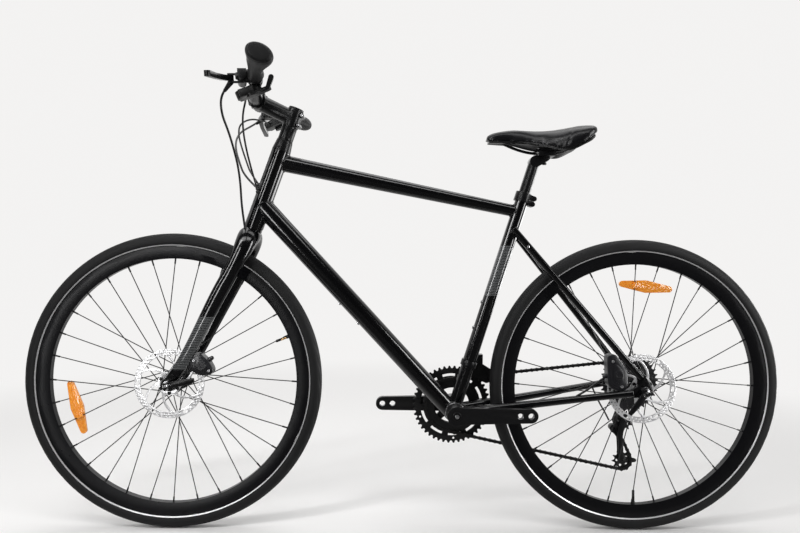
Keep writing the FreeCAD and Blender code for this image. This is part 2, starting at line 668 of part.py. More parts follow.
blade = loft([
    leg_section(24, tip_mid, BLADE_SETBACK / 2, 13.5, FORK_TIP_THICKNESS / 2 + 1, 0),
    leg_section(80, tip_mid + 0.5, BLADE_SETBACK, BLADE_HALF_LENGTH - 2, 9, 0),
    leg_section(165, tip_mid - 0.5, BLADE_SETBACK, BLADE_HALF_LENGTH, 10.5, 0),
    leg_section(265, tip_mid - 3, BLADE_SETBACK, BLADE_HALF_LENGTH + 2, 12, 0),
    leg_section(leg_length - 60, tip_mid - 7, BLADE_SETBACK, BLADE_HALF_LENGTH + 3.5, 14, 10),
    leg_section(leg_length - 22, tip_mid - 20, BLADE_SETBACK / 2, CROWN_HALF_LENGTH - 1, 17, 50),
    leg_section(leg_length, 0, 0, CROWN_HALF_LENGTH, 20, 90)])
tip_face = front_axle + Y_AXIS * (FRONT_HUB_WIDTH / 2)
tip_root = tip_face + leg_up * 40 - leg_forward * BLADE_SETBACK / 2
tip = capsule(tip_face, FORK_TIP_BOSS, tip_root, FORK_TIP_BOSS - 2, Y_AXIS, FORK_TIP_THICKNESS)
left_blade = blade.fuse(tip)
front_slot = FRONT_AXLE_RADIUS + RUNNING_FIT
left_blade = left_blade.cut(axle_slot(
    front_axle, tip_face.y - 4, front_slot, FORK_TIP_THICKNESS + 8, FORK_TIP_BOSS + 2))
left_blade = left_blade.cut(steerer_solid)
add("fork", steerer, left_blade, mirrored(left_blade))

# Dust cover, spacers and top cap on the steerer
cover = Part.makeCone(
    HEAD_TUBE_RADIUS, SPACER_RADIUS + 1, HEADSET_COVER_HEIGHT, on_steerer(stack_start), steer_up)
stack = [cover.cut(cylinder(on_steerer(stack_start), steer_up, STEERER_RADIUS, HEADSET_COVER_HEIGHT))]
for i in range(SPACER_COUNT):
    stack.append(hollow(
        on_steerer(spacer_start + i * SPACER_HEIGHT), steer_up, SPACER_RADIUS, STEERER_RADIUS, SPACER_HEIGHT))
stack.append(cylinder(on_steerer(stem_top), steer_up, SPACER_RADIUS, TOP_CAP_HEIGHT))
add("headset_stack", *stack)

# Stem with a bolted faceplate
stem_angle = math.radians(90 - HEAD_ANGLE + STEM_RISE)
stem_out = V(math.cos(stem_angle), 0, math.sin(stem_angle))
stem_across = V(-stem_out.z, 0, stem_out.x)
stem_root = on_steerer(stem_start + STEM_CLAMP_HEIGHT / 2)
bar_centre = stem_root + stem_out * STEM_LENGTH
clamp_radius = BAR_CENTRE_RADIUS + STEM_WALL
bar_hole = cylinder(bar_centre - Y_AXIS * BAR_CLAMP_WIDTH, Y_AXIS, BAR_CENTRE_RADIUS, 2 * BAR_CLAMP_WIDTH)
bar_clamp = cylinder(bar_centre - Y_AXIS * (BAR_CLAMP_WIDTH / 2), Y_AXIS, clamp_radius, BAR_CLAMP_WIDTH)


def ahead_of(distance):
    """Block that takes up the space ahead of the bar centre, along the stem."""
    near = bar_centre + stem_out * distance - Y_AXIS * BAR_CLAMP_WIDTH
    reach = stem_out * (2 * clamp_radius)
    height = stem_across * (2 * clamp_radius)
    return prism([near - height, near + reach - height, near + reach + height, near + height],
                 Y_AXIS * (2 * BAR_CLAMP_WIDTH))


stem = cylinder(on_steerer(stem_start), steer_up, STEERER_RADIUS + STEM_WALL, STEM_CLAMP_HEIGHT)
stem = stem.fuse(cylinder(stem_root, stem_out, STEM_BODY_RADIUS, STEM_LENGTH - 2))
stem = stem.fuse(bar_clamp)
stem = stem.cut(ahead_of(-FACEPLATE_GAP / 2)).cut(bar_hole)
stem = stem.cut(cylinder(on_steerer(stem_start - 20), steer_up, STEERER_RADIUS, STEM_CLAMP_HEIGHT + 40))
faceplate = bar_clamp.common(ahead_of(FACEPLATE_GAP / 2)).cut(bar_hole)
add("stem", stem, faceplate)

# Handlebar, one bent and tapered tube
sweep_slope = math.tan(math.radians(BAR_SWEEP))
rise_slope = math.tan(math.radians(BAR_UPSWEEP))
bar_out = unit(V(-sweep_slope, 1, rise_slope))


def on_bar(side):
    """Point of the handlebar axis at a distance to the left."""
    beyond = max(side - BAR_BEND_AT, 0)
    return bar_centre + V(-sweep_slope * beyond, side, rise_slope * beyond)


def bar_loft(centre_radius, end_radius, overrun):
    """Round bar through the bend and the taper of both sides."""
    stations = [
        (BAR_BEND_AT - 12, centre_radius, Y_AXIS),
        (BAR_BEND_AT + 12, centre_radius, bar_out),
        (BAR_TAPER_TO, end_radius, bar_out),
        (BAR_WIDTH / 2 + overrun, end_radius, bar_out)]
    left = [circle_wire(on_bar(side), normal, radius) for side, radius, normal in stations]
    return loft([mirrored(wire) for wire in reversed(left)] + left, True)


handlebar = bar_loft(BAR_CENTRE_RADIUS, BAR_RADIUS, 0)
add("handlebar", handlebar.cut(bar_loft(BAR_CENTRE_RADIUS - BAR_WALL, BAR_RADIUS - BAR_WALL, 5)))

# Grips with a palm wing towards the rider at the outer end
bar_end = on_bar(BAR_WIDTH / 2)
wing_out = unit(V(-0.93, 0, -0.36) - bar_out * V(-0.93, 0, -0.36).dot(bar_out))


def grip_section(station, shift, half_long, half_short):
    """Oval section of the left grip, measured from the end of the bar."""
    centre = bar_end + bar_out * station + wing_out * shift
    return ellipse_wire(centre, bar_out, wing_out, half_long, half_short)


left_grip = loft([
    grip_section(-GRIP_LENGTH, 0, GRIP_RADIUS + 1.5, GRIP_RADIUS + 1.4),
    grip_section(-GRIP_LENGTH + 10, 0, GRIP_RADIUS, GRIP_RADIUS - 0.1),
    grip_section(-GRIP_LENGTH * 0.62, 1, GRIP_RADIUS + 0.6, GRIP_RADIUS),
    grip_section(-GRIP_LENGTH * 0.36, 4, GRIP_WING - 5, GRIP_RADIUS + 1),
    grip_section(-GRIP_LENGTH * 0.12, 7, GRIP_WING, GRIP_RADIUS + 3),
    grip_section(GRIP_END_CAP - 3, 6, GRIP_WING - 2, GRIP_RADIUS + 1),
    grip_section(GRIP_END_CAP, 5, GRIP_WING - 8, GRIP_RADIUS - 4)])
left_grip = left_grip.cut(cylinder(bar_end - bar_out * GRIP_LENGTH * 1.2, bar_out, BAR_RADIUS, GRIP_LENGTH * 1.2))
add("grips", left_grip, mirrored(left_grip))

# Wheels: tyre, hollow rim, crossed spokes with nipples, and hub shell
tube_centre = TYRE_RADIUS - TYRE_WIDTH / 2
bead_seat = RIM_EDGE_RADIUS - RIM_HOOK
rim_nose = RIM_EDGE_RADIUS - RIM_DEPTH
half_rim = RIM_WIDTH / 2
half_channel = half_rim - RIM_WALL
half_nose = RIM_NOSE_WIDTH / 2
rim_shoulder = RIM_EDGE_RADIUS - RIM_SIDE_HEIGHT
rim_well = bead_seat - RIM_HOOK


def disc_face(centre, radius):
    """Round face in the plane through centre that the wheel is turned from."""
    return Part.Face(circle_wire(centre, X_AXIS, radius))


def make_tyre(axle):
    """Round casing that ends in two beads inside the rim."""
    crown_centre = axle + Z_AXIS * tube_centre
    casing = disc_face(crown_centre, TYRE_WIDTH / 2).cut(disc_face(crown_centre, TYRE_WIDTH / 2 - TYRE_WALL))
    below = RIM_EDGE_RADIUS + GAP
    cutter = Part.makePolygon([axle + V(0, y, r) for y, r in (
        (-TYRE_WIDTH, 0), (TYRE_WIDTH, 0), (TYRE_WIDTH, below), (-TYRE_WIDTH, below), (-TYRE_WIDTH, 0))])
    casing = casing.cut(Part.Face(cutter))
    bead_outer = half_channel - GAP / 3
    bead_inner = bead_outer - TYRE_WALL
    for side in (1, -1):
        bead = Part.makePolygon([axle + V(0, side * y, r) for y, r in (
            (bead_inner, bead_seat + GAP / 3), (bead_outer, bead_seat + GAP / 3),
            (bead_outer, below + 2), (bead_inner, below + 2), (bead_inner, bead_seat + GAP / 3))])
        casing = casing.fuse(Part.Face(bead))
    return casing.removeSplitter().revolve(axle, Y_AXIS, 360)


def make_rim(axle):
    """Double-walled rim with a bead channel."""
    outer = turned([
        (half_rim, RIM_EDGE_RADIUS), (half_rim, rim_shoulder), (half_nose, rim_nose),
        (-half_nose, rim_nose), (-half_rim, rim_shoulder), (-half_rim, RIM_EDGE_RADIUS),
        (-half_channel, RIM_EDGE_RADIUS), (-half_channel, bead_seat), (-half_nose / 2, rim_well),
        (half_nose / 2, rim_well), (half_channel, bead_seat), (half_channel, RIM_EDGE_RADIUS)], axle)
    chamber = turned([
        (half_channel - 1, rim_shoulder - 1), (half_nose - RIM_WALL, rim_nose + RIM_WALL),
        (-half_nose + RIM_WALL, rim_nose + RIM_WALL), (-half_channel + 1, rim_shoulder - 1),
        (-half_nose / 2, rim_well - RIM_WALL), (half_nose / 2, rim_well - RIM_WALL)], axle)
    return outer.cut(chamber)


def spoke_lines(axle, flanges):
    """Root and rim end of the crossed spokes, alternating between the two flanges."""
    lines = []
    lead = 2 * math.pi * SPOKE_CROSSINGS * 2 / SPOKE_COUNT
    for i in range(SPOKE_COUNT):
        flange = flanges[i % 2]
        pair = i // 2
        leading = 1 if pair % 2 else -1
        rim_angle = (2 * math.pi / SPOKE_COUNT) * i
        hub_angle = rim_angle + leading * lead
        offset = leading * (FLANGE_THICKNESS / 2 + SPOKE_RADIUS)
        root = axle + V(0, flange + offset, 0) + turn(V(FLANGE_HOLE_RADIUS, 0, 0), hub_angle)
        end = axle + V(0, math.copysign(half_nose / 4, flange), 0) + turn(V(rim_nose, 0, 0), rim_angle)
        lines.append((root, end))
    return lines


def make_spokes(axle, flanges):
    """One solid for each spoke with its nipple."""
    spokes = []
    for root, end in spoke_lines(axle, flanges):
        along = unit(end - root)
        spoke = bar_between(root, end - along * NIPPLE_LENGTH, SPOKE_RADIUS)
        nipple = cylinder(end - along * NIPPLE_LENGTH, along, NIPPLE_RADIUS, NIPPLE_LENGTH)
        spokes.append(spoke.fuse(nipple))
    return spokes


def make_hub(axle, flanges, axle_radius, left_end, right_end, rotor_face):
    """Turned hub shell with two spoke flanges and a seat for the rotor."""
    bore = axle_radius + RUNNING_FIT
    half = FLANGE_THICKNESS / 2
    left, right = flanges
    return turned([
        (right_end, bore), (right_end, HUB_WAIST_RADIUS - 2), (right - half, HUB_WAIST_RADIUS),
        (right - half, FLANGE_RADIUS), (right + half, FLANGE_RADIUS), (right + half, HUB_WAIST_RADIUS),
        (left - half, HUB_WAIST_RADIUS), (left - half, FLANGE_RADIUS), (left + half, FLANGE_RADIUS),
        (left + half, ROTOR_SPIGOT_RADIUS), (rotor_face - 4, ROTOR_SPIGOT_RADIUS),
        (rotor_face - 4, ROTOR_CARRIER_RADIUS - 2), (rotor_face, ROTOR_CARRIER_RADIUS - 2),
        (rotor_face, ROTOR_SPIGOT_RADIUS), (rotor_face + ROTOR_THICKNESS + 1, ROTOR_SPIGOT_RADIUS),
        (left_end, LOCKNUT_RADIUS), (left_end, bore)], axle)


def make_rotor(axle, face_y):
    """Brake disc: vented track, curved-back arms and a bolted carrier."""
    start = axle + Y_AXIS * face_y
    track_inner = ROTOR_RADIUS - ROTOR_TRACK
    rotor = hollow(start, Y_AXIS, ROTOR_RADIUS, track_inner, ROTOR_THICKNESS)
    rotor = rotor.fuse(hollow(
        start, Y_AXIS, ROTOR_CARRIER_RADIUS, ROTOR_SPIGOT_RADIUS + GAP, ROTOR_THICKNESS))
    step = 2 * math.pi / ROTOR_ARM_COUNT
    for i in range(ROTOR_ARM_COUNT):
        root = start + turn(V(ROTOR_CARRIER_RADIUS - 4, 0, 0), i * step)
        end = start + turn(V(track_inner + 3, 0, 0), i * step + step * 0.62)
        rotor = rotor.fuse(capsule(root, ROTOR_ARM_WIDTH / 2, end, ROTOR_ARM_WIDTH / 2, Y_AXIS, ROTOR_THICKNESS))
    vents = []
    for i in range(ROTOR_ARM_COUNT * 4):
        radius = ROTOR_RADIUS - ROTOR_TRACK * (0.35 if i % 2 else 0.65)
        centre = start + turn(V(radius, 0, 0), i * step / 4)
        vents.append(cylinder(centre, Y_AXIS, ROTOR_VENT_RADIUS, ROTOR_THICKNESS))
    return rotor.cut(Part.makeCompound(vents)).removeSplitter()


def make_axle(axle, hub_width, axle_radius, dropout, lever_along):
    """Hollow axle with locknuts, and the quick-release skewer that runs through it."""
    half = hub_width / 2
    shaft_half = half + dropout - 1.5
    tube = turned([
        (-shaft_half, SKEWER_RADIUS + GAP), (-shaft_half, axle_radius), (-half, axle_radius),
        (-half, LOCKNUT_RADIUS), (-half + LOCKNUT_LENGTH, LOCKNUT_RADIUS), (-half + LOCKNUT_LENGTH, axle_radius),
        (half - LOCKNUT_LENGTH, axle_radius), (half - LOCKNUT_LENGTH, LOCKNUT_RADIUS), (half, LOCKNUT_RADIUS),
        (half, axle_radius), (shaft_half, axle_radius), (shaft_half, SKEWER_RADIUS + GAP)], axle)
    face = half + dropout
    pivot_y = face + QR_PIVOT_HEIGHT
    skewer = turned([
        (-face - 11, 0), (-face - 11, 5), (-face - 8, 9), (-face, 9), (-face, SKEWER_RADIUS),
        (face, SKEWER_RADIUS), (face, 9), (face + 4, 9), (face + 4, SKEWER_RADIUS), (pivot_y, SKEWER_RADIUS),
        (pivot_y, 0)], axle)
    pivot = axle + Y_AXIS * pivot_y
    pivot_axis = unit(lever_along.cross(Y_AXIS))
    skewer = skewer.fuse(cylinder(pivot - pivot_axis * 2.5, pivot_axis, QR_EYE_RADIUS - 0.5, 5))
    skewer = skewer.fuse(cylinder(pivot - pivot_axis * 7, pivot_axis, QR_PIN_RADIUS, 14))
    lever = None
    for side in (2.8, -6.8):
        cheek = hollow(pivot + pivot_axis * side, pivot_axis, QR_EYE_RADIUS, QR_PIN_RADIUS + RUNNING_FIT, 4)
        tongue = capsule(
            pivot + pivot_axis * side + lever_along * (QR_EYE_RADIUS + 1), 2.5,
            pivot + pivot_axis * side + lever_along * 16 + Y_AXIS * 2, 2.5, pivot_axis, 4)
        cheek = cheek.fuse(capsule(
            pivot + pivot_axis * side + lever_along * (QR_EYE_RADIUS - 2), 2.5,
            pivot + pivot_axis * side + lever_along * (QR_EYE_RADIUS + 2), 2.5, pivot_axis, 4))
        cheek = cheek.fuse(tongue)
        lever = cheek if lever is None else lever.fuse(cheek)
    blade = loft([
        ellipse_wire(pivot + lever_along * 13 + Y_AXIS * 1.6, lever_along, pivot_axis, 7, 2.8),
        ellipse_wire(pivot + lever_along * 30 + Y_AXIS * 2.5, lever_along, pivot_axis, 7.5, 2.6),
        ellipse_wire(pivot + lever_along * QR_LEVER_LENGTH, lever_along, pivot_axis, 5, 2.2)])
    pin_hole = cylinder(pivot - pivot_axis * 7, pivot_axis, QR_PIN_RADIUS + RUNNING_FIT, 14)
    return [tube, skewer], lever.fuse(blade).cut(pin_hole)


front_locknut = FRONT_HUB_WIDTH / 2 - LOCKNUT_LENGTH
front_rotor_face = FRONT_HUB_WIDTH / 2 - FRONT_ROTOR_INSET - ROTOR_THICKNESS
rear_locknut = REAR_HUB_WIDTH / 2 - LOCKNUT_LENGTH
rear_rotor_face = REAR_HUB_WIDTH / 2 - REAR_ROTOR_INSET - ROTOR_THICKNESS
freehub_inner_y = FIRST_COG_Y + COG_SPACING * (len(CASSETTE_TEETH) - 1) + SPROCKET_THICKNESS
front_lever_along = turn(V(1, 0, 0), math.radians(FRONT_QR_ANGLE))
rear_lever_along = turn(V(1, 0, 0), math.radians(REAR_QR_ANGLE))
add("front_tyre", make_tyre(front_axle))
add("rear_tyre", make_tyre(rear_axle))
add("front_rim", make_rim(front_axle))
add("rear_rim", make_rim(rear_axle))
add("front_spokes", *make_spokes(front_axle, FRONT_FLANGES))
add("rear_spokes", *make_spokes(rear_axle, REAR_FLANGES))
add("front_hub", make_hub(
    front_axle, FRONT_FLANGES, FRONT_AXLE_RADIUS, front_locknut - GAP, -front_locknut + GAP, front_rotor_face))
add("rear_hub", make_hub(
    rear_axle, REAR_FLANGES, REAR_AXLE_RADIUS, rear_locknut - GAP, freehub_inner_y + GAP, rear_rotor_face))
add("front_rotor", make_rotor(front_axle, front_rotor_face))
add("rear_rotor", make_rotor(rear_axle, rear_rotor_face))
axle_solids, qr_lever = make_axle(
    front_axle, FRONT_HUB_WIDTH, FRONT_AXLE_RADIUS, FORK_TIP_THICKNESS, front_lever_along)
add("front_axle", *axle_solids)
add("front_qr_lever", qr_lever)
axle_solids, qr_lever = make_axle(
    rear_axle, REAR_HUB_WIDTH, REAR_AXLE_RADIUS, DROPOUT_THICKNESS, rear_lever_along)
add("rear_axle", *axle_solids)
add("rear_qr_lever", qr_lever)


def make_reflector(axle, angle, flanges):
    """Lozenge lens between the spokes, with a clip on each of the two nearest."""
    out = turn(V(1, 0, 0), angle)
    along = turn(V(0, 0, 1), angle)
    centre = axle + out * REFLECTOR_OFFSET - Y_AXIS * (REFLECTOR_THICKNESS / 2)
    half = REFLECTOR_LENGTH / 2 - REFLECTOR_HEIGHT / 4
    body = None
    for end in (1, -1):
        wing = capsule(
            centre, REFLECTOR_HEIGHT / 2, centre + along * (end * half), REFLECTOR_HEIGHT / 4,
            Y_AXIS, REFLECTOR_THICKNESS)
        body = wing if body is None else body.fuse(wing)
    middle = axle + out * REFLECTOR_OFFSET
    nearest = []
    for root, end in spoke_lines(axle, flanges):
        direction = unit(end - root)
        point = root + direction * (middle - root).dot(direction)
        nearest.append(((point - middle).Length, point, direction))
    nearest.sort(key=lambda entry: entry[0])
    for _, point, direction in nearest[:2]:
        body = body.fuse(cylinder(point - direction * 7, direction, REFLECTOR_CLIP_RADIUS, 14))
        body = body.fuse(bar_between(point, V(point.x, 0, point.z), REFLECTOR_CLIP_RADIUS))
        body = body.cut(cylinder(point - direction * 40, direction, SPOKE_RADIUS, 80))
    return max(body.Solids, key=lambda solid: solid.Volume)


for name, axle, angle, flanges in (
        ("front_reflector", front_axle, FRONT_REFLECTOR_ANGLE, FRONT_FLANGES),
        ("rear_reflector", rear_axle, REAR_REFLECTOR_ANGLE, REAR_FLANGES)):
    add(name, make_reflector(axle, math.radians(angle), flanges))

# Brake calipers, each with a slot that the rotor turns in
def make_caliper(axle, outline, y_from, y_to, rotor_face, parts_in_the_way):
    """Caliper body from an outline about the axle, fitted round its neighbours."""
    body = prism([axle + V(x, y_from, z) for x, z in outline], Y_AXIS * (y_to - y_from))
    slot_start = axle + Y_AXIS * (rotor_face - CALIPER_SLOT_GAP)
    slot_width = ROTOR_THICKNESS + 2 * CALIPER_SLOT_GAP
    body = body.cut(cylinder(slot_start, Y_AXIS, ROTOR_RADIUS + 2, slot_width))
    for part in parts_in_the_way:
        body = body.cut(part)
    return max(body.Solids, key=lambda solid: solid.Volume)


add("front_caliper", make_caliper(
    front_axle, FRONT_CALIPER_OUTLINE, FRONT_CALIPER_Y[0], FRONT_CALIPER_Y[1], front_rotor_face, [left_blade]))
add("rear_caliper", make_caliper(
    rear_axle, REAR_CALIPER_OUTLINE, REAR_CALIPER_Y[0], REAR_CALIPER_Y[1], rear_rotor_face,
    [left_dropout, left_chainstay, left_seatstay]))


# Path of the chain: ring, sprocket, guide pulley and tension pulley in one loop
def pitch_radius(teeth):
    """Radius of the circle that the roller centres lie on."""
    return CHAIN_PITCH / (2 * math.sin(math.pi / teeth))


chain_cog_y = FIRST_COG_Y + COG_SPACING * CHAIN_COG_INDEX
guide_centre = rear_axle + V(-GUIDE_BEHIND_AXLE, chain_cog_y, -GUIDE_BELOW_AXLE)
cage_pivot = guide_centre + V(CAGE_PIVOT_FROM_GUIDE[0], 0, CAGE_PIVOT_FROM_GUIDE[1])
ring_centre = bb_centre + Y_AXIS * INNER_RING_Y
cog_centre = rear_axle + Y_AXIS * chain_cog_y


def chain_loop(cage_angle):
    """Wheels of the loop as (centre, teeth, sense), for one angle of the pulley cage."""
    swing = math.radians(cage_angle)
    tension_centre = guide_centre + V(PULLEY_DISTANCE * math.sin(swing), 0, -PULLEY_DISTANCE * math.cos(swing))
    return [
        (ring_centre, INNER_RING_TEETH, 1),
        (cog_centre, CASSETTE_TEETH[CHAIN_COG_INDEX], 1),
        (guide_centre, PULLEY_TEETH, -1),
        (tension_centre, PULLEY_TEETH, 1)]


def loop_pieces(wheels):
    """Straight runs and arcs of the loop, with their length in chain pitches."""
    runs = []
    for i, (first, first_teeth, first_sense) in enumerate(wheels):
        second, second_teeth, second_sense = wheels[(i + 1) % len(wheels)]
        reach = second - first
        distance = math.hypot(reach.x, reach.z)
        first_offset = first_sense * pitch_radius(first_teeth)
        second_offset = second_sense * pitch_radius(second_teeth)
        heading = math.atan2(reach.z, reach.x) + math.asin((first_offset - second_offset) / distance)
        right = V(math.sin(heading), 0, -math.cos(heading))
        runs.append((first + right * first_offset, second + right * second_offset, heading))
    pieces = []
    for i, (start, end, heading) in enumerate(runs):
        pieces.append(("run", start, end, heading, math.hypot(end.x - start.x, end.z - start.z) / CHAIN_PITCH))
        centre, teeth, sense = wheels[(i + 1) % len(wheels)]
        next_heading = runs[(i + 1) % len(runs)][2]
        swept = ((next_heading - heading) * sense) % (2 * math.pi)
        pieces.append(("arc", centre, teeth, sense, heading, swept * teeth / (2 * math.pi)))
    return pieces


def loop_length(cage_angle):
    """Length of the loop in chain pitches."""
    return sum(piece[-1] for piece in loop_pieces(chain_loop(cage_angle)))


link_total = 2 * round(loop_length(CAGE_ANGLE_GUESS) / 2)
low_angle = CAGE_ANGLE_GUESS - 25.0
high_angle = CAGE_ANGLE_GUESS + 25.0
for _ in range(60):
    cage_angle = (low_angle + high_angle) / 2
    rising = loop_length(high_angle) > loop_length(low_angle)
    if (loop_length(cage_angle) < link_total) == rising:
        low_angle = cage_angle
    else:
        high_angle = cage_angle
chain_wheels = chain_loop(cage_angle)
tension_centre = chain_wheels[3][0]
chain_pieces = loop_pieces(chain_wheels)
print("chain links", link_total, "cage angle", round(cage_angle, 2))


def pin_at(pitches):
    """Centre of a chain pin, counted in pitches from the top of the chainring."""
    for piece in chain_pieces:
        if pitches <= piece[-1]:
            break
        pitches -= piece[-1]
    if piece[0] == "run":
        _, start, end, _, length = piece
        sideways = min(max((pitches - CHAIN_LEAD) / (length - 2 * CHAIN_LEAD), 0), 1)
        point = start + (end - start) * (pitches / length)
        return V(point.x, start.y + (end.y - start.y) * sideways, point.z)
    _, centre, teeth, sense, heading, _ = piece
    angle = heading + sense * (pitches * 2 * math.pi / teeth - math.pi / 2)
    return centre + V(math.cos(angle), 0, math.sin(angle)) * pitch_radius(teeth)


def wheel_phase(index):
    """Angle of one roller seat on a wheel of the loop, so that its teeth meet the rollers."""
    centre, teeth, _ = chain_wheels[index]
    before = sum(piece[-1] for piece in chain_pieces[:2 * ((index - 1) % 4) + 1])
    pin = pin_at(math.ceil(before + 0.05)) - centre
    return math.atan2(pin.z, pin.x)


def sprocket_plate(centre, teeth, phase, bore, thickness):
    """Toothed disc, centred on its plane, with a round bore."""
    radius = pitch_radius(teeth)
    seat = ROLLER_RADIUS + ROLLER_SEAT
    tip = radius + TOOTH_HEIGHT
    step = 2 * math.pi / teeth
    start = centre - Y_AXIS * (thickness / 2)
    seats = []
    for i in range(teeth):
        angle = phase + i * step
        middle = start + turn(V(radius, 0, 0), angle)
        inward = turn(V(-1, 0, 0), angle)
        first = middle + turn(inward, math.radians(SEAT_OPENING)) * seat
        last = middle + turn(inward, -math.radians(SEAT_OPENING)) * seat
        seats.append((first, middle + inward * seat, last))
    edges = []
    for i in range(teeth):
        angle = phase + (i + 0.5) * step
        first, bottom, last = seats[i]
        following = seats[(i + 1) % teeth][0]
        tip_middle = start + turn(V(tip, 0, 0), angle)
        half_tip = turn(V(0, 0, 1), angle) * (TOOTH_TIP_WIDTH / 2)
        edges.append(Part.Arc(first, bottom, last).toShape())
        edges.append(Part.LineSegment(last, tip_middle - half_tip).toShape())
        edges.append(Part.LineSegment(tip_middle - half_tip, tip_middle + half_tip).toShape())
        edges.append(Part.LineSegment(tip_middle + half_tip, following).toShape())
    plate = Part.Face(Part.Wire(edges)).extrude(Y_AXIS * thickness)
    return plate.cut(cylinder(start, Y_AXIS, bore, thickness))


def round_holes(centre, count, at_radius, radius, thickness, phase=0.0):
    """Ring of round bars to cut lightening holes with."""
    start = centre - Y_AXIS * (thickness / 2)
    step = 2 * math.pi / count
    return Part.makeCompound([
        cylinder(start + turn(V(at_radius, 0, 0), phase + i * step), Y_AXIS, radius, thickness) for i in range(count)])


# Chain: inner links with rollers, and outer links with pins
def link_plate(y_from):
    """Figure-of-eight plate between two pins on the X axis."""
    first = V(0, y_from, 0)
    second = V(CHAIN_PITCH, y_from, 0)
    plate = cylinder(first, Y_AXIS, CHAIN_PLATE_RADIUS, CHAIN_PLATE)
    plate = plate.fuse(cylinder(second, Y_AXIS, CHAIN_PLATE_RADIUS, CHAIN_PLATE))
    waist = V(0, 0, CHAIN_WAIST)
    return plate.fuse(prism([first - waist, second - waist, second + waist, first + waist], Y_AXIS * CHAIN_PLATE))


half_inner = CHAIN_INNER_WIDTH / 2
inner_outside = half_inner + CHAIN_PLATE
outer_inside = inner_outside + 0.05
pin_half = outer_inside + CHAIN_PLATE + 0.25
inner_link = link_plate(half_inner).fuse(link_plate(-inner_outside))
outer_link = link_plate(outer_inside).fuse(link_plate(-outer_inside - CHAIN_PLATE))
for pin_x in (0, CHAIN_PITCH):
    inner_link = inner_link.fuse(cylinder(V(pin_x, -half_inner, 0), Y_AXIS, ROLLER_RADIUS, CHAIN_INNER_WIDTH))
    outer_link = outer_link.fuse(cylinder(V(pin_x, -pin_half, 0), Y_AXIS, CHAIN_PIN_RADIUS, 2 * pin_half))
for pin_x in (0, CHAIN_PITCH):
    pin_hole = cylinder(V(pin_x, -pin_half, 0), Y_AXIS, CHAIN_PIN_RADIUS + RUNNING_FIT, 2 * pin_half)
    inner_link = inner_link.cut(pin_hole)
inner_link = inner_link.removeSplitter()
outer_link = outer_link.removeSplitter()
links = []
for i in range(link_total):
    start = pin_at(i)
    along = unit(pin_at((i + 1) % link_total) - start)
    across = unit(Y_AXIS - along * along.y)
    up = along.cross(across)
    link = (inner_link if i % 2 else outer_link).copy()
    link.Placement = FreeCAD.Placement(FreeCAD.Matrix(
        along.x, across.x, up.x, start.x,
        along.y, across.y, up.y, start.y,
        along.z, across.z, up.z, start.z,
        0, 0, 0, 1))
    links.append(link)
add("chain", *links)

# Cassette on its freehub body
freehub_outer_y = FIRST_COG_Y - SPROCKET_THICKNESS / 2 - LOCKRING_LENGTH
freehub_bore = REAR_AXLE_RADIUS + RUNNING_FIT
locknut_clear = LOCKNUT_RADIUS + 1
cassette = [turned([
    (freehub_outer_y, locknut_clear), (freehub_outer_y, FREEHUB_RADIUS), (freehub_inner_y, FREEHUB_RADIUS),
    (freehub_inner_y, freehub_bore), (-rear_locknut + GAP, freehub_bore), (-rear_locknut + GAP, locknut_clear)],
    rear_axle)]
for i, teeth in enumerate(CASSETTE_TEETH):
    cog_y = FIRST_COG_Y + i * COG_SPACING
    centre = rear_axle + Y_AXIS * cog_y
    phase = wheel_phase(1) if i == CHAIN_COG_INDEX else 0.0
    cog = sprocket_plate(centre, teeth, phase, FREEHUB_RADIUS, SPROCKET_THICKNESS)
    hole_at = (pitch_radius(teeth) - ROLLER_RADIUS + FREEHUB_RADIUS + SPACER_WALL) / 2
    hole_radius = (pitch_radius(teeth) - ROLLER_RADIUS - FREEHUB_RADIUS - SPACER_WALL) / 2 - 3
    if hole_radius > 3:
        cog = cog.cut(round_holes(centre, 6, hole_at, min(hole_radius, 9), SPROCKET_THICKNESS))
    cassette.append(cog)
    if i:
        cassette.append(hollow(
            centre - Y_AXIS * (COG_SPACING - SPROCKET_THICKNESS / 2), Y_AXIS, FREEHUB_RADIUS + SPACER_WALL,
            FREEHUB_RADIUS, COG_SPACING - SPROCKET_THICKNESS))
add("cassette", *cassette)

# Crank: spindle, two arms, a four-armed spider and two chainrings
crank_rise = math.radians(CRANK_ANGLE)
right_arm_along = turn(V(1, 0, 0), crank_rise)
outer_face = CRANK_INNER_Y + CRANK_THICKNESS
spindle = turned([
    (-outer_face - 2, 0), (-outer_face - 2, SPINDLE_RADIUS + 1), (-outer_face, SPINDLE_RADIUS + 2),
    (-outer_face, SPINDLE_RADIUS), (outer_face, SPINDLE_RADIUS), (outer_face, SPINDLE_RADIUS + 2),
    (outer_face + 2, SPINDLE_RADIUS + 1), (outer_face + 2, 0)], bb_centre)
add("crank_spindle", spindle)


def make_arm(side, along):
    """Crank arm with its boss and two pedal threads."""
    inner = bb_centre + Y_AXIS * (CRANK_INNER_Y if side > 0 else -outer_face)
    boss_start = bb_centre + Y_AXIS * (CRANK_BOSS_INNER_Y if side > 0 else -outer_face)
    arm = capsule(
        inner, CRANK_BOSS_RADIUS - 3, inner + along * CRANK_LENGTH, CRANK_END_RADIUS, Y_AXIS, CRANK_THICKNESS)
    arm = arm.fuse(cylinder(boss_start, Y_AXIS, CRANK_BOSS_RADIUS, outer_face - CRANK_BOSS_INNER_Y))
    for hole_at in (CRANK_LENGTH, SECOND_PEDAL_HOLE):
        arm = arm.cut(cylinder(inner + along * hole_at, Y_AXIS, PEDAL_THREAD_RADIUS, CRANK_THICKNESS))
    return arm


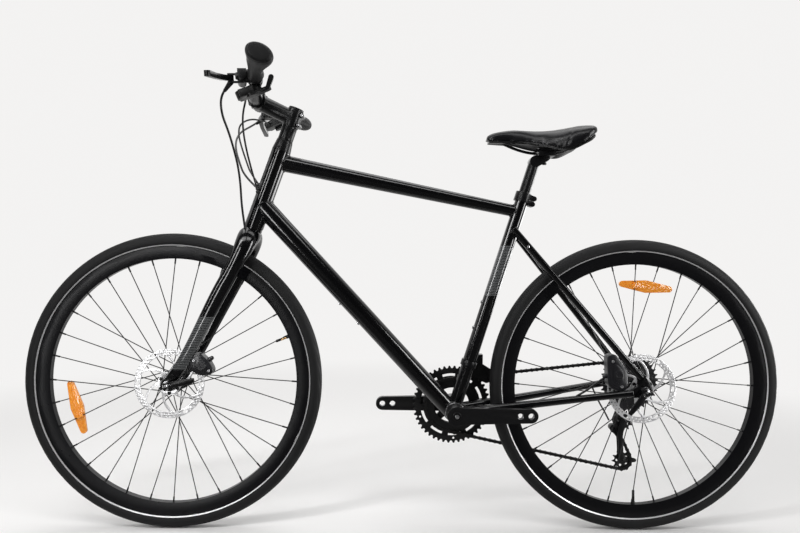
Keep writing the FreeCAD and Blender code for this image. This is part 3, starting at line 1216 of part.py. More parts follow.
spindle_hole = cylinder(bb_centre - Y_AXIS * 100, Y_AXIS, SPINDLE_RADIUS, 200)
left_arm = make_arm(1, right_arm_along * -1)
add("left_crank_arm", left_arm.cut(spindle_hole).removeSplitter())
outer_ring_y = INNER_RING_Y - RING_SPACING
spider_face_y = outer_ring_y - SPROCKET_THICKNESS / 2
right_arm = make_arm(-1, right_arm_along)
bolt_shafts = []
ring_bolts = []
for i in range(RING_BOLT_COUNT):
    spoke_out = turn(V(1, 0, 0), crank_rise + (i + 0.5) * 2 * math.pi / RING_BOLT_COUNT)
    arm_root = bb_centre + Y_AXIS * (spider_face_y - SPIDER_THICKNESS)
    right_arm = right_arm.fuse(capsule(
        arm_root + spoke_out * (CRANK_BOSS_RADIUS - 8), 10, arm_root + spoke_out * RING_BOLT_RADIUS, 7.5,
        Y_AXIS, SPIDER_THICKNESS))
    bolt_centre = bb_centre + spoke_out * RING_BOLT_RADIUS
    head_y = spider_face_y - SPIDER_THICKNESS
    nut_y = INNER_RING_Y + SPROCKET_THICKNESS / 2
    ring_bolts.append(turned([
        (head_y - 2, 0), (head_y - 2, 6), (head_y, 6), (head_y, 4), (outer_ring_y + SPROCKET_THICKNESS / 2, 4),
        (outer_ring_y + SPROCKET_THICKNESS / 2, 6.5), (INNER_RING_Y - SPROCKET_THICKNESS / 2, 6.5),
        (INNER_RING_Y - SPROCKET_THICKNESS / 2, 4), (nut_y, 4), (nut_y, 6), (nut_y + 1.5, 6), (nut_y + 1.5, 0)],
        bolt_centre))
    bolt_shafts.append(cylinder(bolt_centre - Y_AXIS * 100, Y_AXIS, 4, 100))
right_arm = right_arm.cut(spindle_hole).cut(Part.makeCompound(bolt_shafts)).removeSplitter()
add("right_crank_arm", right_arm)
inner_ring_bore = RING_BOLT_RADIUS - 9
inner_ring = sprocket_plate(ring_centre, INNER_RING_TEETH, wheel_phase(0), inner_ring_bore, SPROCKET_THICKNESS)
outer_centre = bb_centre + Y_AXIS * outer_ring_y
outer_ring = sprocket_plate(outer_centre, OUTER_RING_TEETH, 0.0, inner_ring_bore, SPROCKET_THICKNESS)
outer_ring = outer_ring.cut(round_holes(
    outer_centre, 16, RING_HOLE_AT, RING_HOLE_RADIUS, SPROCKET_THICKNESS, crank_rise))
outer_ring = outer_ring.cut(Part.makeCompound(bolt_shafts))
inner_ring = inner_ring.cut(Part.makeCompound(bolt_shafts))
add("chainrings", outer_ring, inner_ring, *ring_bolts)

# Rear derailleur: bracket on the hanger, swinging link, knuckle and sprung pulley cage
link_reach = V(*LINK_REACH)
link_along = unit(link_reach)
link_swing = unit(V(*LINK_SWING))
link_axis = unit(link_along.cross(link_swing))
lower_lug = V(cage_pivot.x, 0, cage_pivot.z) + V(*LUG_FROM_CAGE_PIVOT)
upper_lug = lower_lug - link_reach
ear_inside = LINK_LUG_WIDTH / 2 + GAP
stub_radius = LINK_LUG_WIDTH / 2 - GAP


def pivot_lug(centre):
    """Lug with the pin that a pair of link ears turns on."""
    pin_half = ear_inside + LINK_EAR + GAP
    lug = cylinder(centre - link_axis * (LINK_LUG_WIDTH / 2), link_axis, LINK_LUG_RADIUS, LINK_LUG_WIDTH)
    return lug.fuse(cylinder(centre - link_axis * pin_half, link_axis, LINK_PIN_RADIUS, 2 * pin_half))


bracket_inner_y = -dropout_face.y - DROPOUT_THICKNESS - GAP
bracket_outer_y = bracket_inner_y - BRACKET_WIDTH
bracket_face = V(hanger_bolt.x, bracket_outer_y, hanger_bolt.z)
stub_end = upper_lug - link_swing * BRACKET_STUB_LENGTH
bracket = cylinder(bracket_face, Y_AXIS, BRACKET_RADIUS, BRACKET_WIDTH)
bracket = bracket.fuse(cylinder(
    V(hanger_bolt.x, bracket_inner_y, hanger_bolt.z), Y_AXIS, HANGER_THREAD_RADIUS - RUNNING_FIT,
    DROPOUT_THICKNESS + GAP))
bracket = bracket.fuse(capsule(
    bracket_face, BRACKET_RADIUS, V(stub_end.x, bracket_outer_y, stub_end.z), 7, Y_AXIS, BRACKET_WIDTH - 2))
bracket = bracket.fuse(cylinder(upper_lug, link_swing * -1, stub_radius, BRACKET_STUB_LENGTH))
bracket = bracket.fuse(pivot_lug(upper_lug))
add("derailleur_bracket", bracket)

link = None
for ear_start in (ear_inside, -ear_inside - LINK_EAR):
    ear = capsule(
        upper_lug + link_axis * ear_start, LINK_LUG_RADIUS, lower_lug + link_axis * ear_start, LINK_LUG_RADIUS,
        link_axis, LINK_EAR)
    link = ear if link is None else link.fuse(ear)
web_start = upper_lug + link_along * (LINK_LUG_RADIUS + 5)
web_side = link_swing * 4
web_half = link_axis * (ear_inside + 1)
link = link.fuse(prism([
    web_start - web_side - web_half, web_start + web_side - web_half,
    web_start + web_side + web_half, web_start - web_side + web_half],
    link_along * (link_reach.Length - 2 * (LINK_LUG_RADIUS + 5))))
for lug in (upper_lug, lower_lug):
    link = link.cut(cylinder(lug - link_axis * 20, link_axis, LINK_PIN_RADIUS + RUNNING_FIT, 40))
add("derailleur_link", link.removeSplitter())

outer_plate_y = chain_cog_y - CAGE_HALF_GAP - CAGE_PLATE
housing_start = V(cage_pivot.x, KNUCKLE_Y[0], cage_pivot.z)
housing_length = KNUCKLE_Y[1] - KNUCKLE_Y[0]
knuckle = cylinder(housing_start, Y_AXIS, KNUCKLE_RADIUS, housing_length)
knuckle = knuckle.fuse(cylinder(
    housing_start, Y_AXIS, CAGE_PIN_RADIUS, outer_plate_y + CAGE_PLATE - KNUCKLE_Y[0]))
knuckle = knuckle.fuse(cylinder(lower_lug, link_along, stub_radius, 16))
knuckle = knuckle.fuse(pivot_lug(lower_lug))
add("derailleur_knuckle", knuckle)


def cage_point(centre, y):
    """A pulley or pivot centre moved to a plane of the cage."""
    return V(centre.x, y, centre.z)


inner_plate_y = chain_cog_y + CAGE_HALF_GAP
tail = tension_centre + V(*CAGE_TAIL)
cage = None
for first, first_radius, second, second_radius, y in (
        (guide_centre, 9, cage_pivot, 10, outer_plate_y), (cage_pivot, 10, tension_centre, 9, outer_plate_y),
        (guide_centre, 9, tension_centre, 9, outer_plate_y), (tension_centre, 9, tail, 5, outer_plate_y),
        (guide_centre, 11, tension_centre, 10, inner_plate_y)):
    plate = capsule(cage_point(first, y), first_radius, cage_point(second, y), second_radius, Y_AXIS, CAGE_PLATE)
    cage = plate if cage is None else cage.fuse(plate)
for centre in (guide_centre, tension_centre):
    cage = cage.fuse(cylinder(
        cage_point(centre, outer_plate_y), Y_AXIS, PULLEY_BOLT_RADIUS, 2 * (CAGE_HALF_GAP + CAGE_PLATE)))
cage = cage.cut(cylinder(cage_point(cage_pivot, outer_plate_y), Y_AXIS, CAGE_PIN_RADIUS + RUNNING_FIT, CAGE_PLATE))
add("derailleur_cage", cage.removeSplitter())
for name, centre, index in (("guide_pulley", guide_centre, 2), ("tension_pulley", tension_centre, 3)):
    bore = PULLEY_BOLT_RADIUS + RUNNING_FIT
    hub_half = CAGE_HALF_GAP - GAP
    pulley = sprocket_plate(centre, PULLEY_TEETH, wheel_phase(index), bore, PULLEY_THICKNESS)
    pulley = pulley.cut(round_holes(centre, 5, 12.5, 3, PULLEY_THICKNESS))
    add(name, pulley.fuse(hollow(centre - Y_AXIS * hub_half, Y_AXIS, 6.5, bore, 2 * hub_half)))

# Front derailleur: band and body on the seat tube, and a cage that swings over the rings
fd_pivot = bb_centre + V(*FD_PIVOT_FROM_BB)


def box(low, high):
    """Block between two opposite corners."""
    return Part.makeBox(high.x - low.x, high.y - low.y, high.z - low.z, low)


fd_eye_half = FD_EYE_LENGTH / 2
cheek_half = fd_eye_half + GAP + FD_CHEEK
fd_body = hollow(
    on_seat_tube(FD_BAND_AT), seat_up, SEAT_TUBE_RADIUS + FD_BAND_WALL, SEAT_TUBE_RADIUS, FD_BAND_HEIGHT)
fd_body = fd_body.fuse(box(
    fd_pivot + V(-cheek_half, 6, -16), fd_pivot + V(cheek_half + 6, 15, 7)))
for cheek_x in (-cheek_half, fd_eye_half + GAP):
    fd_body = fd_body.fuse(box(fd_pivot + V(cheek_x, -6, -7), fd_pivot + V(cheek_x + FD_CHEEK, 15, 7)))
fd_body = fd_body.fuse(cylinder(fd_pivot - X_AXIS * cheek_half, X_AXIS, FD_PIN_RADIUS, 2 * cheek_half))
fd_body = fd_body.cut(seat_solid)
add("front_derailleur_body", max(fd_body.Solids, key=lambda solid: solid.Volume))


def about_crank(radius, angle, y):
    """Point at a radius and an angle, in degrees, about the crank spindle."""
    return bb_centre + turn(V(radius, y, 0), math.radians(angle))


fd_outer_y = FD_CHAIN_Y - FD_CAGE_HALF_GAP - FD_CAGE_PLATE
fd_inner_y = FD_CHAIN_Y + FD_CAGE_HALF_GAP


def fd_plate(y, outline):
    """Side plate of the front cage, from (radius, angle) points about the crank."""
    return prism([about_crank(radius, angle, y) for radius, angle in outline], Y_AXIS * FD_CAGE_PLATE)


fd_outer_edge = [(133, 146), (129, 136), (125, 124), (125, 108), (119, 104)]
fd_cage = fd_plate(fd_outer_y, [(99.5, 104), (99.5, 115), (99.5, 126), (99.5, 137), (99.5, 146)] + fd_outer_edge)
fd_cage = fd_cage.fuse(fd_plate(fd_inner_y, [
    (96, 104), (90, 112), (86, 124), (91, 137), (99.5, 146), (124, 150)] + fd_outer_edge))
fd_cage = fd_cage.fuse(prism(
    [about_crank(radius, angle, fd_outer_y) for radius, angle in ((116, 108), (116, 124), (125, 124), (125, 108))],
    Y_AXIS * (2 * FD_CAGE_HALF_GAP + 2 * FD_CAGE_PLATE)))
fd_cage = fd_cage.fuse(cylinder(
    about_crank(103, 144, fd_outer_y), Y_AXIS, 2, 2 * FD_CAGE_HALF_GAP + 2 * FD_CAGE_PLATE))
fd_cage = fd_cage.fuse(capsule(
    fd_pivot - X_AXIS * fd_eye_half, 5.5, fd_pivot + V(-fd_eye_half, -16, -11), 4, X_AXIS, FD_EYE_LENGTH))
fd_cage = fd_cage.cut(cylinder(fd_pivot - X_AXIS * 50, X_AXIS, FD_PIN_RADIUS + RUNNING_FIT, 100))
add("front_derailleur_cage", fd_cage.removeSplitter())

# Seatpost with a set-back head, a rail clamp and its bolt
post_low = SEAT_TUBE_LENGTH - POST_INSERTION
post_top = SEAT_TUBE_LENGTH + POST_STRAIGHT_EXTENT
post = cylinder(on_seat_tube(post_low), seat_up, POST_RADIUS, post_top - post_low)
post_bore = cylinder(on_seat_tube(post_low), seat_up, POST_RADIUS - TUBE_WALL, post_top - post_low - 15)
seat_top = on_seat_tube(SEAT_TUBE_LENGTH)
rail_clamp = seat_top + V(*CLAMP_FROM_SEAT_TUBE)
head_start = on_seat_tube(post_top) - Y_AXIS * POST_RADIUS
head = capsule(head_start, POST_RADIUS, V(rail_clamp.x, -POST_RADIUS, rail_clamp.z - 14), 10, Y_AXIS, 2 * POST_RADIUS)
half_jaw = RAIL_SPACING / 2 + 6
half_clamp = CLAMP_LENGTH / 2
cradle = box(rail_clamp + V(-half_clamp, -half_jaw, -12), rail_clamp + V(half_clamp, half_jaw, -1.5))
jaw = box(rail_clamp + V(-half_clamp, -half_jaw, 1.5), rail_clamp + V(half_clamp, half_jaw, 7.5))
clamp_bolt = cylinder(rail_clamp - Z_AXIS * 30, Z_AXIS, 3, 38)
clamp_bolt = clamp_bolt.fuse(cylinder(rail_clamp - Z_AXIS * 30, Z_AXIS, 5, 5))
rail_points = [seat_top + V(*point) for point in RAIL_PATH]
left_rail = routed_tube(rail_points, RAIL_RADIUS, "rail")
rails = [left_rail, mirrored(left_rail)]
seatpost = post.cut(post_bore).fuse(head).fuse(cradle).cut(clamp_bolt)
jaw = jaw.cut(clamp_bolt)
for rail in rails:
    seatpost = seatpost.cut(rail)
    jaw = jaw.cut(rail)
add("seatpost", seatpost.removeSplitter(), jaw, clamp_bolt)


# Saddle: rails, a thin base and a crowned cushion drawn in at the sides
def saddle_section(x, half_width, top, shoulder, edge_half, edge, under):
    """Closed section of the cushion: crown, two flanks and a hollowed underside."""
    flank = max(half_width, edge_half) + 1.5
    left_top = V(x, half_width, shoulder)
    right_top = V(x, -half_width, shoulder)
    left_edge = V(x, edge_half, edge)
    right_edge = V(x, -edge_half, edge)
    middle = (shoulder + edge) / 2
    return Part.Wire([
        Part.Arc(left_top, V(x, 0, top), right_top).toShape(),
        Part.Arc(right_top, V(x, -flank, middle), right_edge).toShape(),
        Part.Arc(right_edge, V(x, 0, under), left_edge).toShape(),
        Part.Arc(left_edge, V(x, flank, middle), left_top).toShape()])


def base_section(x, edge_half, edge, under):
    """Closed section of the base, which is trimmed by the cushion above it."""
    side = edge_half - 5
    depth = under - edge
    bend_radius = (edge_half ** 2 + depth ** 2) / (2 * depth)
    drop = bend_radius - math.sqrt(bend_radius ** 2 - side ** 2)
    low = under - SADDLE_BASE_THICKNESS
    left_low = V(x, side, low - drop)
    right_low = V(x, -side, low - drop)
    lift = V(0, 0, SADDLE_BASE_THICKNESS + 5)
    return Part.Wire([
        Part.LineSegment(left_low, left_low + lift).toShape(),
        Part.Arc(left_low + lift, V(x, 0, low) + lift, right_low + lift).toShape(),
        Part.LineSegment(right_low + lift, right_low).toShape(),
        Part.Arc(right_low, V(x, 0, low), left_low).toShape()])


cushion = loft([saddle_section(*section) for section in SADDLE_SECTIONS])
base = loft([base_section(section[0], section[4], section[5], section[6]) for section in SADDLE_SECTIONS[1:-1]])
cushion.translate(seat_top)
base.translate(seat_top)
base = base.cut(cushion)
base = max(base.Solids, key=lambda solid: solid.Volume)
for rail in rails:
    cushion = cushion.cut(rail)
    base = base.cut(rail)
cushion = max(cushion.Solids, key=lambda solid: solid.Volume)
base = max(base.Solids, key=lambda solid: solid.Volume)
add("saddle_rails", *rails)
add("saddle_shell", base)
add("saddle_cushion", cushion)


# Brake levers and shifters, in a frame of the bar: outward, forward and up
def bar_frame(tilt):
    """Forward and up directions of a control that is turned down round the bar, in degrees."""
    angle = math.radians(tilt)
    level_forward = V(math.cos(angle), 0, -math.sin(angle))
    forward = unit(level_forward - bar_out * level_forward.dot(bar_out))
    return forward, forward.cross(bar_out)


bar_forward, bar_up = bar_frame(BRAKE_TILT)
control_origin = on_bar(BAR_WIDTH / 2 - BRAKE_CLAMP_FROM_END)


def at_control(outward, forward, up):
    """Point near the left brake clamp, in the frame of the bar."""
    return control_origin + bar_out * outward + bar_forward * forward + bar_up * up


def control_block(low, high):
    """Block with its edges along the frame of the bar, between two corners."""
    outward, forward, up = [high[i] - low[i] for i in range(3)]
    corner = at_control(*low)
    return prism([
        corner, corner + bar_out * outward, corner + bar_out * outward + bar_forward * forward,
        corner + bar_forward * forward], bar_up * up)


half_lever = LEVER_HEIGHT / 2
lever_pivot = at_control(-LEVER_PIVOT_IN, LEVER_REACH, 0)
lever_droop = math.radians(LEVER_DROOP)
lever_out = bar_out * math.cos(lever_droop) - bar_up * math.sin(lever_droop)
lever_up = bar_up * math.cos(lever_droop) + bar_out * math.sin(lever_droop)
ring_outer = BAR_RADIUS + CLAMP_WALL
master = cylinder(
    at_control(-BRAKE_CLAMP_WIDTH / 2, 0, 0), bar_out, ring_outer, BRAKE_CLAMP_WIDTH)
master = master.fuse(control_block(
    (-BRAKE_CLAMP_WIDTH / 2, 5, -6), (BRAKE_CLAMP_WIDTH / 2, RESERVOIR_REACH, 6)))
master = master.fuse(cylinder(
    at_control(-RESERVOIR_INNER, RESERVOIR_REACH, 0), bar_out, RESERVOIR_RADIUS, RESERVOIR_LENGTH))
master = master.fuse(control_block(
    (-RESERVOIR_INNER + 8, RESERVOIR_REACH - 9, 2), (RESERVOIR_LENGTH - RESERVOIR_INNER - 6, RESERVOIR_REACH + 9, 13)))
lug_root = at_control(-LEVER_PIVOT_IN, RESERVOIR_REACH, 0)
for lug_up in (half_lever + GAP, -half_lever - GAP - LEVER_LUG):
    master = master.fuse(capsule(
        lug_root + lever_up * lug_up, 9, lever_pivot + lever_up * lug_up, 6.5, lever_up, LEVER_LUG))
pin_half = half_lever + GAP + LEVER_LUG
master = master.fuse(cylinder(lever_pivot - lever_up * pin_half, lever_up, LEVER_PIN_RADIUS, 2 * pin_half))
boot_along = unit(bar_out * BOOT_ALONG[0] + bar_forward * BOOT_ALONG[1] + bar_up * BOOT_ALONG[2])
boot_root = lever_pivot - lever_up * (pin_half - LEVER_LUG / 2)
boot = Part.makeCone(BOOT_RADIUS, BOOT_TIP_RADIUS, BOOT_LENGTH, boot_root, boot_along)
lever_room = cylinder(lever_pivot - lever_up * (half_lever + GAP), lever_up, 2 * BOOT_LENGTH, LEVER_HEIGHT + 2 * GAP)
master = master.fuse(boot.cut(lever_room))
hose_exit = boot_root + boot_along * (BOOT_LENGTH + GAP)
master = master.cut(cylinder(at_control(-60, 0, 0), bar_out, BAR_RADIUS, 120)).removeSplitter()
add("brake_master_cylinders", master, mirrored(master))

brake_lever = None
for i in range(len(LEVER_PATH) - 1):
    outward, forward, radius = LEVER_PATH[i]
    next_outward, next_forward, next_radius = LEVER_PATH[i + 1]
    piece = capsule(
        lever_pivot + lever_out * outward + bar_forward * forward - lever_up * half_lever, radius,
        lever_pivot + lever_out * next_outward + bar_forward * next_forward - lever_up * half_lever, next_radius,
        lever_up, LEVER_HEIGHT)
    brake_lever = piece if brake_lever is None else brake_lever.fuse(piece)
brake_lever = brake_lever.cut(cylinder(
    lever_pivot - lever_up * 20, lever_up, LEVER_PIN_RADIUS + RUNNING_FIT, 40)).removeSplitter()
add("left_brake_lever", brake_lever)
add("right_brake_lever", mirrored(brake_lever))

bar_forward, bar_up = bar_frame(SHIFTER_TILT)
shifter_at = SHIFTER_FROM_BRAKE
pod_top = -half_lever - GAP - LEVER_LUG - 1
pod = cylinder(at_control(shifter_at - 5, 0, 0), bar_out, ring_outer, 10)
pod = pod.fuse(control_block(
    (shifter_at - POD_INNER, -4, -POD_DEPTH), (shifter_at + POD_OUTER, POD_REACH, pod_top)))
pod = pod.fuse(capsule(
    at_control(shifter_at, POD_REACH - 8, -POD_DEPTH), 14, at_control(shifter_at + 4, 12, -POD_DEPTH), 16,
    bar_up, pod_top + POD_DEPTH))
pod = pod.cut(cylinder(at_control(-80, 0, 0), bar_out, BAR_RADIUS, 120)).cut(handlebar)
pod = pod.cut(cylinder(
    at_control(-BRAKE_CLAMP_WIDTH / 2 - GAP, 0, 0), bar_out, ring_outer + GAP, BRAKE_CLAMP_WIDTH + 2 * GAP))
thumb_pivot = at_control(THUMB_PIVOT[0], THUMB_PIVOT[1], -POD_DEPTH)
thumb_face = thumb_pivot - bar_up * (GAP + THUMB_LEVER_THICKNESS)
pod = pod.fuse(cylinder(thumb_face, bar_up, LEVER_PIN_RADIUS, GAP + THUMB_LEVER_THICKNESS)).removeSplitter()
add("shifter_pods", pod, mirrored(pod))
thumb_bend = thumb_face + bar_forward * -THUMB_LEVER_LENGTH * 0.78 + bar_out * 4
thumb = capsule(thumb_face, 8, thumb_bend, 6, bar_up, THUMB_LEVER_THICKNESS)
thumb_root = thumb_bend + bar_up * (THUMB_LEVER_THICKNESS / 2) - bar_out * 7
thumb_tip = thumb_root - bar_forward * (THUMB_LEVER_LENGTH * 0.34) + bar_up * THUMB_RISE
thumb = thumb.fuse(capsule(
    thumb_root, THUMB_LEVER_THICKNESS / 2, thumb_tip, THUMB_LEVER_THICKNESS / 2 + 0.8, bar_out, 14))
thumb = thumb.cut(cylinder(
    thumb_face, bar_up, LEVER_PIN_RADIUS + RUNNING_FIT, THUMB_LEVER_THICKNESS)).removeSplitter()
add("left_thumb_lever", thumb)
add("right_thumb_lever", mirrored(thumb))


# Brake hoses and shift cables along their routes
def on_head_tube(height, around, radius):
    """Point at an angle round the head tube, in degrees from straight ahead towards the left."""
    angle = math.radians(around)
    return on_steerer(height) + steer_forward * (radius * math.cos(angle)) + Y_AXIS * (radius * math.sin(angle))


def flip(point):
    """The same point on the other side of the bicycle."""
    return V(point.x, -point.y, point.z)


port_radius = HEAD_TUBE_RADIUS - 1
hose_lead = hose_exit + boot_along * HOSE_LEAD
cable_exit = at_control(shifter_at - POD_INNER - GAP, POD_REACH - 14, (pod_top - POD_DEPTH) / 2)
cable_lead = cable_exit - bar_out * CABLE_LEAD
front_hose = routed_tube(
    [hose_exit, hose_lead] + [front_axle + V(*point) for point in FRONT_HOSE_ROUTE], HOSE_RADIUS, "front hose")
rear_hose = routed_tube(
    [flip(hose_exit), flip(hose_lead)] + [front_axle + V(*point) for point in REAR_HOSE_ROUTE]
    + [on_head_tube(REAR_HOSE_PORT[0], REAR_HOSE_PORT[1], port_radius)], HOSE_RADIUS, "rear hose")
left_cable = routed_tube(
    [cable_exit, cable_lead] + [front_axle + V(*point) for point in LEFT_CABLE_ROUTE]
    + [on_head_tube(LEFT_CABLE_PORT[0], LEFT_CABLE_PORT[1], port_radius)], CABLE_RADIUS, "left cable")
right_cable = routed_tube(
    [flip(cable_exit), flip(cable_lead)] + [front_axle + V(*point) for point in RIGHT_CABLE_ROUTE]
    + [on_head_tube(RIGHT_CABLE_PORT[0], RIGHT_CABLE_PORT[1], port_radius)], CABLE_RADIUS, "right cable")
caliper_hose = routed_tube([rear_axle + V(*point) for point in CALIPER_HOSE_ROUTE], HOSE_RADIUS, "caliper hose")
derailleur_loop = routed_tube([rear_axle + V(*point) for point in DERAILLEUR_LOOP_ROUTE], CABLE_RADIUS, "derailleur loop")
head_tube = nodes["head_tube"]
for line in (rear_hose, left_cable, right_cable):
    head_tube = head_tube.cut(line)
add("head_tube", max(head_tube.Solids, key=lambda solid: solid.Volume))
add("fork", steerer.cut(front_hose), left_blade.cut(front_hose), mirrored(left_blade).cut(front_hose))
add("chainstays", left_chainstay.cut(caliper_hose), mirrored(left_chainstay).cut(derailleur_loop))
add("rear_caliper", nodes["rear_caliper"].cut(caliper_hose))
add("front_brake_hose", front_hose)
add("rear_brake_hose", rear_hose, caliper_hose)
add("shift_cables", left_cable, right_cable, derailleur_loop)


for name in nodes:
    nodes[name].exportStep("parts/%s.step" % name)
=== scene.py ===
import json
import math

import bmesh
import bpy
from mathutils import Matrix, Vector
from mathutils.bvhtree import BVHTree


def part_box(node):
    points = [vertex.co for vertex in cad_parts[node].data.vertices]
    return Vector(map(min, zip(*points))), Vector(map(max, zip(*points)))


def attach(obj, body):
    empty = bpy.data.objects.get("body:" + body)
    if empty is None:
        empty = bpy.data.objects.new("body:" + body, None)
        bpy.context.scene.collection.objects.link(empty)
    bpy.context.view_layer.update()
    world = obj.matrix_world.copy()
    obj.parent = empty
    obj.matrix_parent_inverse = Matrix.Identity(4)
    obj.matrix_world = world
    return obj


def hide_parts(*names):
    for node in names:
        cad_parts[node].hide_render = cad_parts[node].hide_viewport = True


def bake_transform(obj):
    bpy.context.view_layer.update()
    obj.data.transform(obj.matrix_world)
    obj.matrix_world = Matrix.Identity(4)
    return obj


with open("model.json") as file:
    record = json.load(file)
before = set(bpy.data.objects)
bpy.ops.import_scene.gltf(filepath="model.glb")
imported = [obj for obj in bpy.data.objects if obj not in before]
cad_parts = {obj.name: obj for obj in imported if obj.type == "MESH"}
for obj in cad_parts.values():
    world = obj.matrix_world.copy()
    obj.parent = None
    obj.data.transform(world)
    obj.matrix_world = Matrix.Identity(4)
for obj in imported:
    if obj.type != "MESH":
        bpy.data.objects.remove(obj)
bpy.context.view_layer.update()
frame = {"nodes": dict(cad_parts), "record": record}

# Studio: a wide white floor that fades into a pale backdrop, with soft lamps above and beside the bicycle.
# The camera stands square to the left side of the bicycle, a little below its top tube.
scene = bpy.context.scene
scene.view_settings.view_transform = "Standard"
lens = bpy.data.cameras.new("camera")
lens.lens = 29.25
lens.sensor_width = 36.0
camera = bpy.data.objects.new("camera", lens)
camera.matrix_world = (
    Matrix.Translation((0.053, 1.540, 0.644)) @ Matrix.Rotation(math.radians(178.69), 4, "Z")
    @ Matrix.Rotation(math.radians(89.15), 4, "X") @ Matrix.Rotation(math.radians(0.76), 4, "Z"))
scene.collection.objects.link(camera)
scene.camera = camera
PALE = (0.900, 0.892, 0.885, 1.0)


def add_node(tree, kind, links=(), **settings):
    """Adds a shader node; a setting is one of its inputs or else one of its properties."""
    made = tree.nodes.new("ShaderNode" + kind)
    for name, value in settings.items():
        if hasattr(made, name):
            setattr(made, name, value)
        else:
            made.inputs[name].default_value = value
    for socket, output in links:
        tree.links.new(output, made.inputs[socket])
    return made


def background_rays(tree):
    """One for the rays that should see the pale backdrop: camera, mirror and glass rays."""
    path = add_node(tree, "LightPath")
    first = add_node(tree, "Math", [(0, path.outputs["Is Camera Ray"]), (1, path.outputs["Is Glossy Ray"])])
    both = add_node(tree, "Math", [(0, first.outputs[0]), (1, path.outputs["Is Transmission Ray"])])
    both.use_clamp = True
    return both.outputs[0]


air = bpy.data.worlds.new("studio_air")
scene.world = air
air.use_nodes = True
tree = air.node_tree
tree.nodes["Background"].inputs["Color"].default_value = PALE
path = add_node(tree, "LightPath")
ahead = add_node(tree, "SeparateXYZ", [(0, add_node(tree, "TexCoord").outputs["Generated"])])
room = add_node(tree, "MapRange", [("Value", ahead.outputs["Y"])], interpolation_type="SMOOTHSTEP")
for name, value in (("From Min", -0.25), ("From Max", 0.2), ("To Min", 1.0), ("To Max", 0.035)):
    room.inputs[name].default_value = value
mirrored = add_node(
    tree, "Math", [(0, room.outputs[0]), (1, path.outputs["Is Glossy Ray"])], operation="MULTIPLY")
clear = add_node(tree, "Math", [(0, path.outputs["Is Camera Ray"]), (1, path.outputs["Is Transmission Ray"])])
clear.use_clamp = True
soft = add_node(tree, "MapRange", [("Value", path.outputs["Is Diffuse Ray"])])
soft.inputs["To Max"].default_value = 0.42
shown = add_node(tree, "Math", [(0, mirrored.outputs[0]), (1, clear.outputs[0])], operation="MAXIMUM")
level = add_node(tree, "Math", [(0, shown.outputs[0]), (1, soft.outputs[0])], operation="MAXIMUM")
tree.links.new(level.outputs[0], tree.nodes["Background"].inputs["Strength"])

floor_mesh = bmesh.new()
bmesh.ops.create_circle(floor_mesh, cap_ends=True, radius=14.0, segments=128)
bmesh.ops.translate(floor_mesh, verts=floor_mesh.verts, vec=(0, 0, -0.0008))
floor_data = bpy.data.meshes.new("studio_floor")
floor_mesh.to_mesh(floor_data)
floor = bpy.data.objects.new("studio_floor", floor_data)
scene.collection.objects.link(floor)
floor_paint = bpy.data.materials.new("floor_paint")
floor_paint.use_nodes = True
tree = floor_paint.node_tree
matt = tree.nodes["Principled BSDF"]
matt.inputs["Base Color"].default_value = (0.84, 0.835, 0.83, 1.0)
matt.inputs["Roughness"].default_value = 0.9
matt.inputs["Specular IOR Level"].default_value = 0.0
place = add_node(tree, "TexCoord")
distance = add_node(tree, "VectorMath", [(0, place.outputs["Object"])], operation="LENGTH")
fade = add_node(tree, "MapRange", [("Value", distance.outputs["Value"])], interpolation_type="SMOOTHSTEP")
fade.inputs["From Min"].default_value = 1.1
fade.inputs["From Max"].default_value = 2.6
seen = add_node(
    tree, "Math", [(0, fade.outputs[0]), (1, background_rays(tree))], operation="MULTIPLY")
glow = add_node(tree, "Emission", Color=PALE, Strength=1.0)
mixed = add_node(
    tree, "MixShader", [(0, seen.outputs[0]), (1, matt.outputs[0]), (2, glow.outputs[0])])
# Painted shade: to mirror rays the floor in front of the bicycle shows a dim emission in place of its lit
# colour, so the bicycle's undersides reflect dark.
ahead = add_node(tree, "SeparateXYZ", [(0, place.outputs["Object"])])
room = add_node(tree, "MapRange", [("Value", ahead.outputs["Y"])], interpolation_type="SMOOTHSTEP")
room.inputs["From Min"].default_value = -0.1
room.inputs["From Max"].default_value = 0.5
room.inputs["To Max"].default_value = 0.93
path = add_node(tree, "LightPath")
mirrored = add_node(
    tree, "Math", [(0, room.outputs[0]), (1, path.outputs["Is Glossy Ray"])], operation="MULTIPLY")
painted_dark_reflection = add_node(tree, "Emission", Color=PALE, Strength=0.03)
shaded = add_node(
    tree, "MixShader", [(0, mirrored.outputs[0]), (1, mixed.outputs[0]), (2, painted_dark_reflection.outputs[0])])
tree.links.new(shaded.outputs[0], tree.nodes["Material Output"].inputs["Surface"])
floor_data.materials.append(floor_paint)

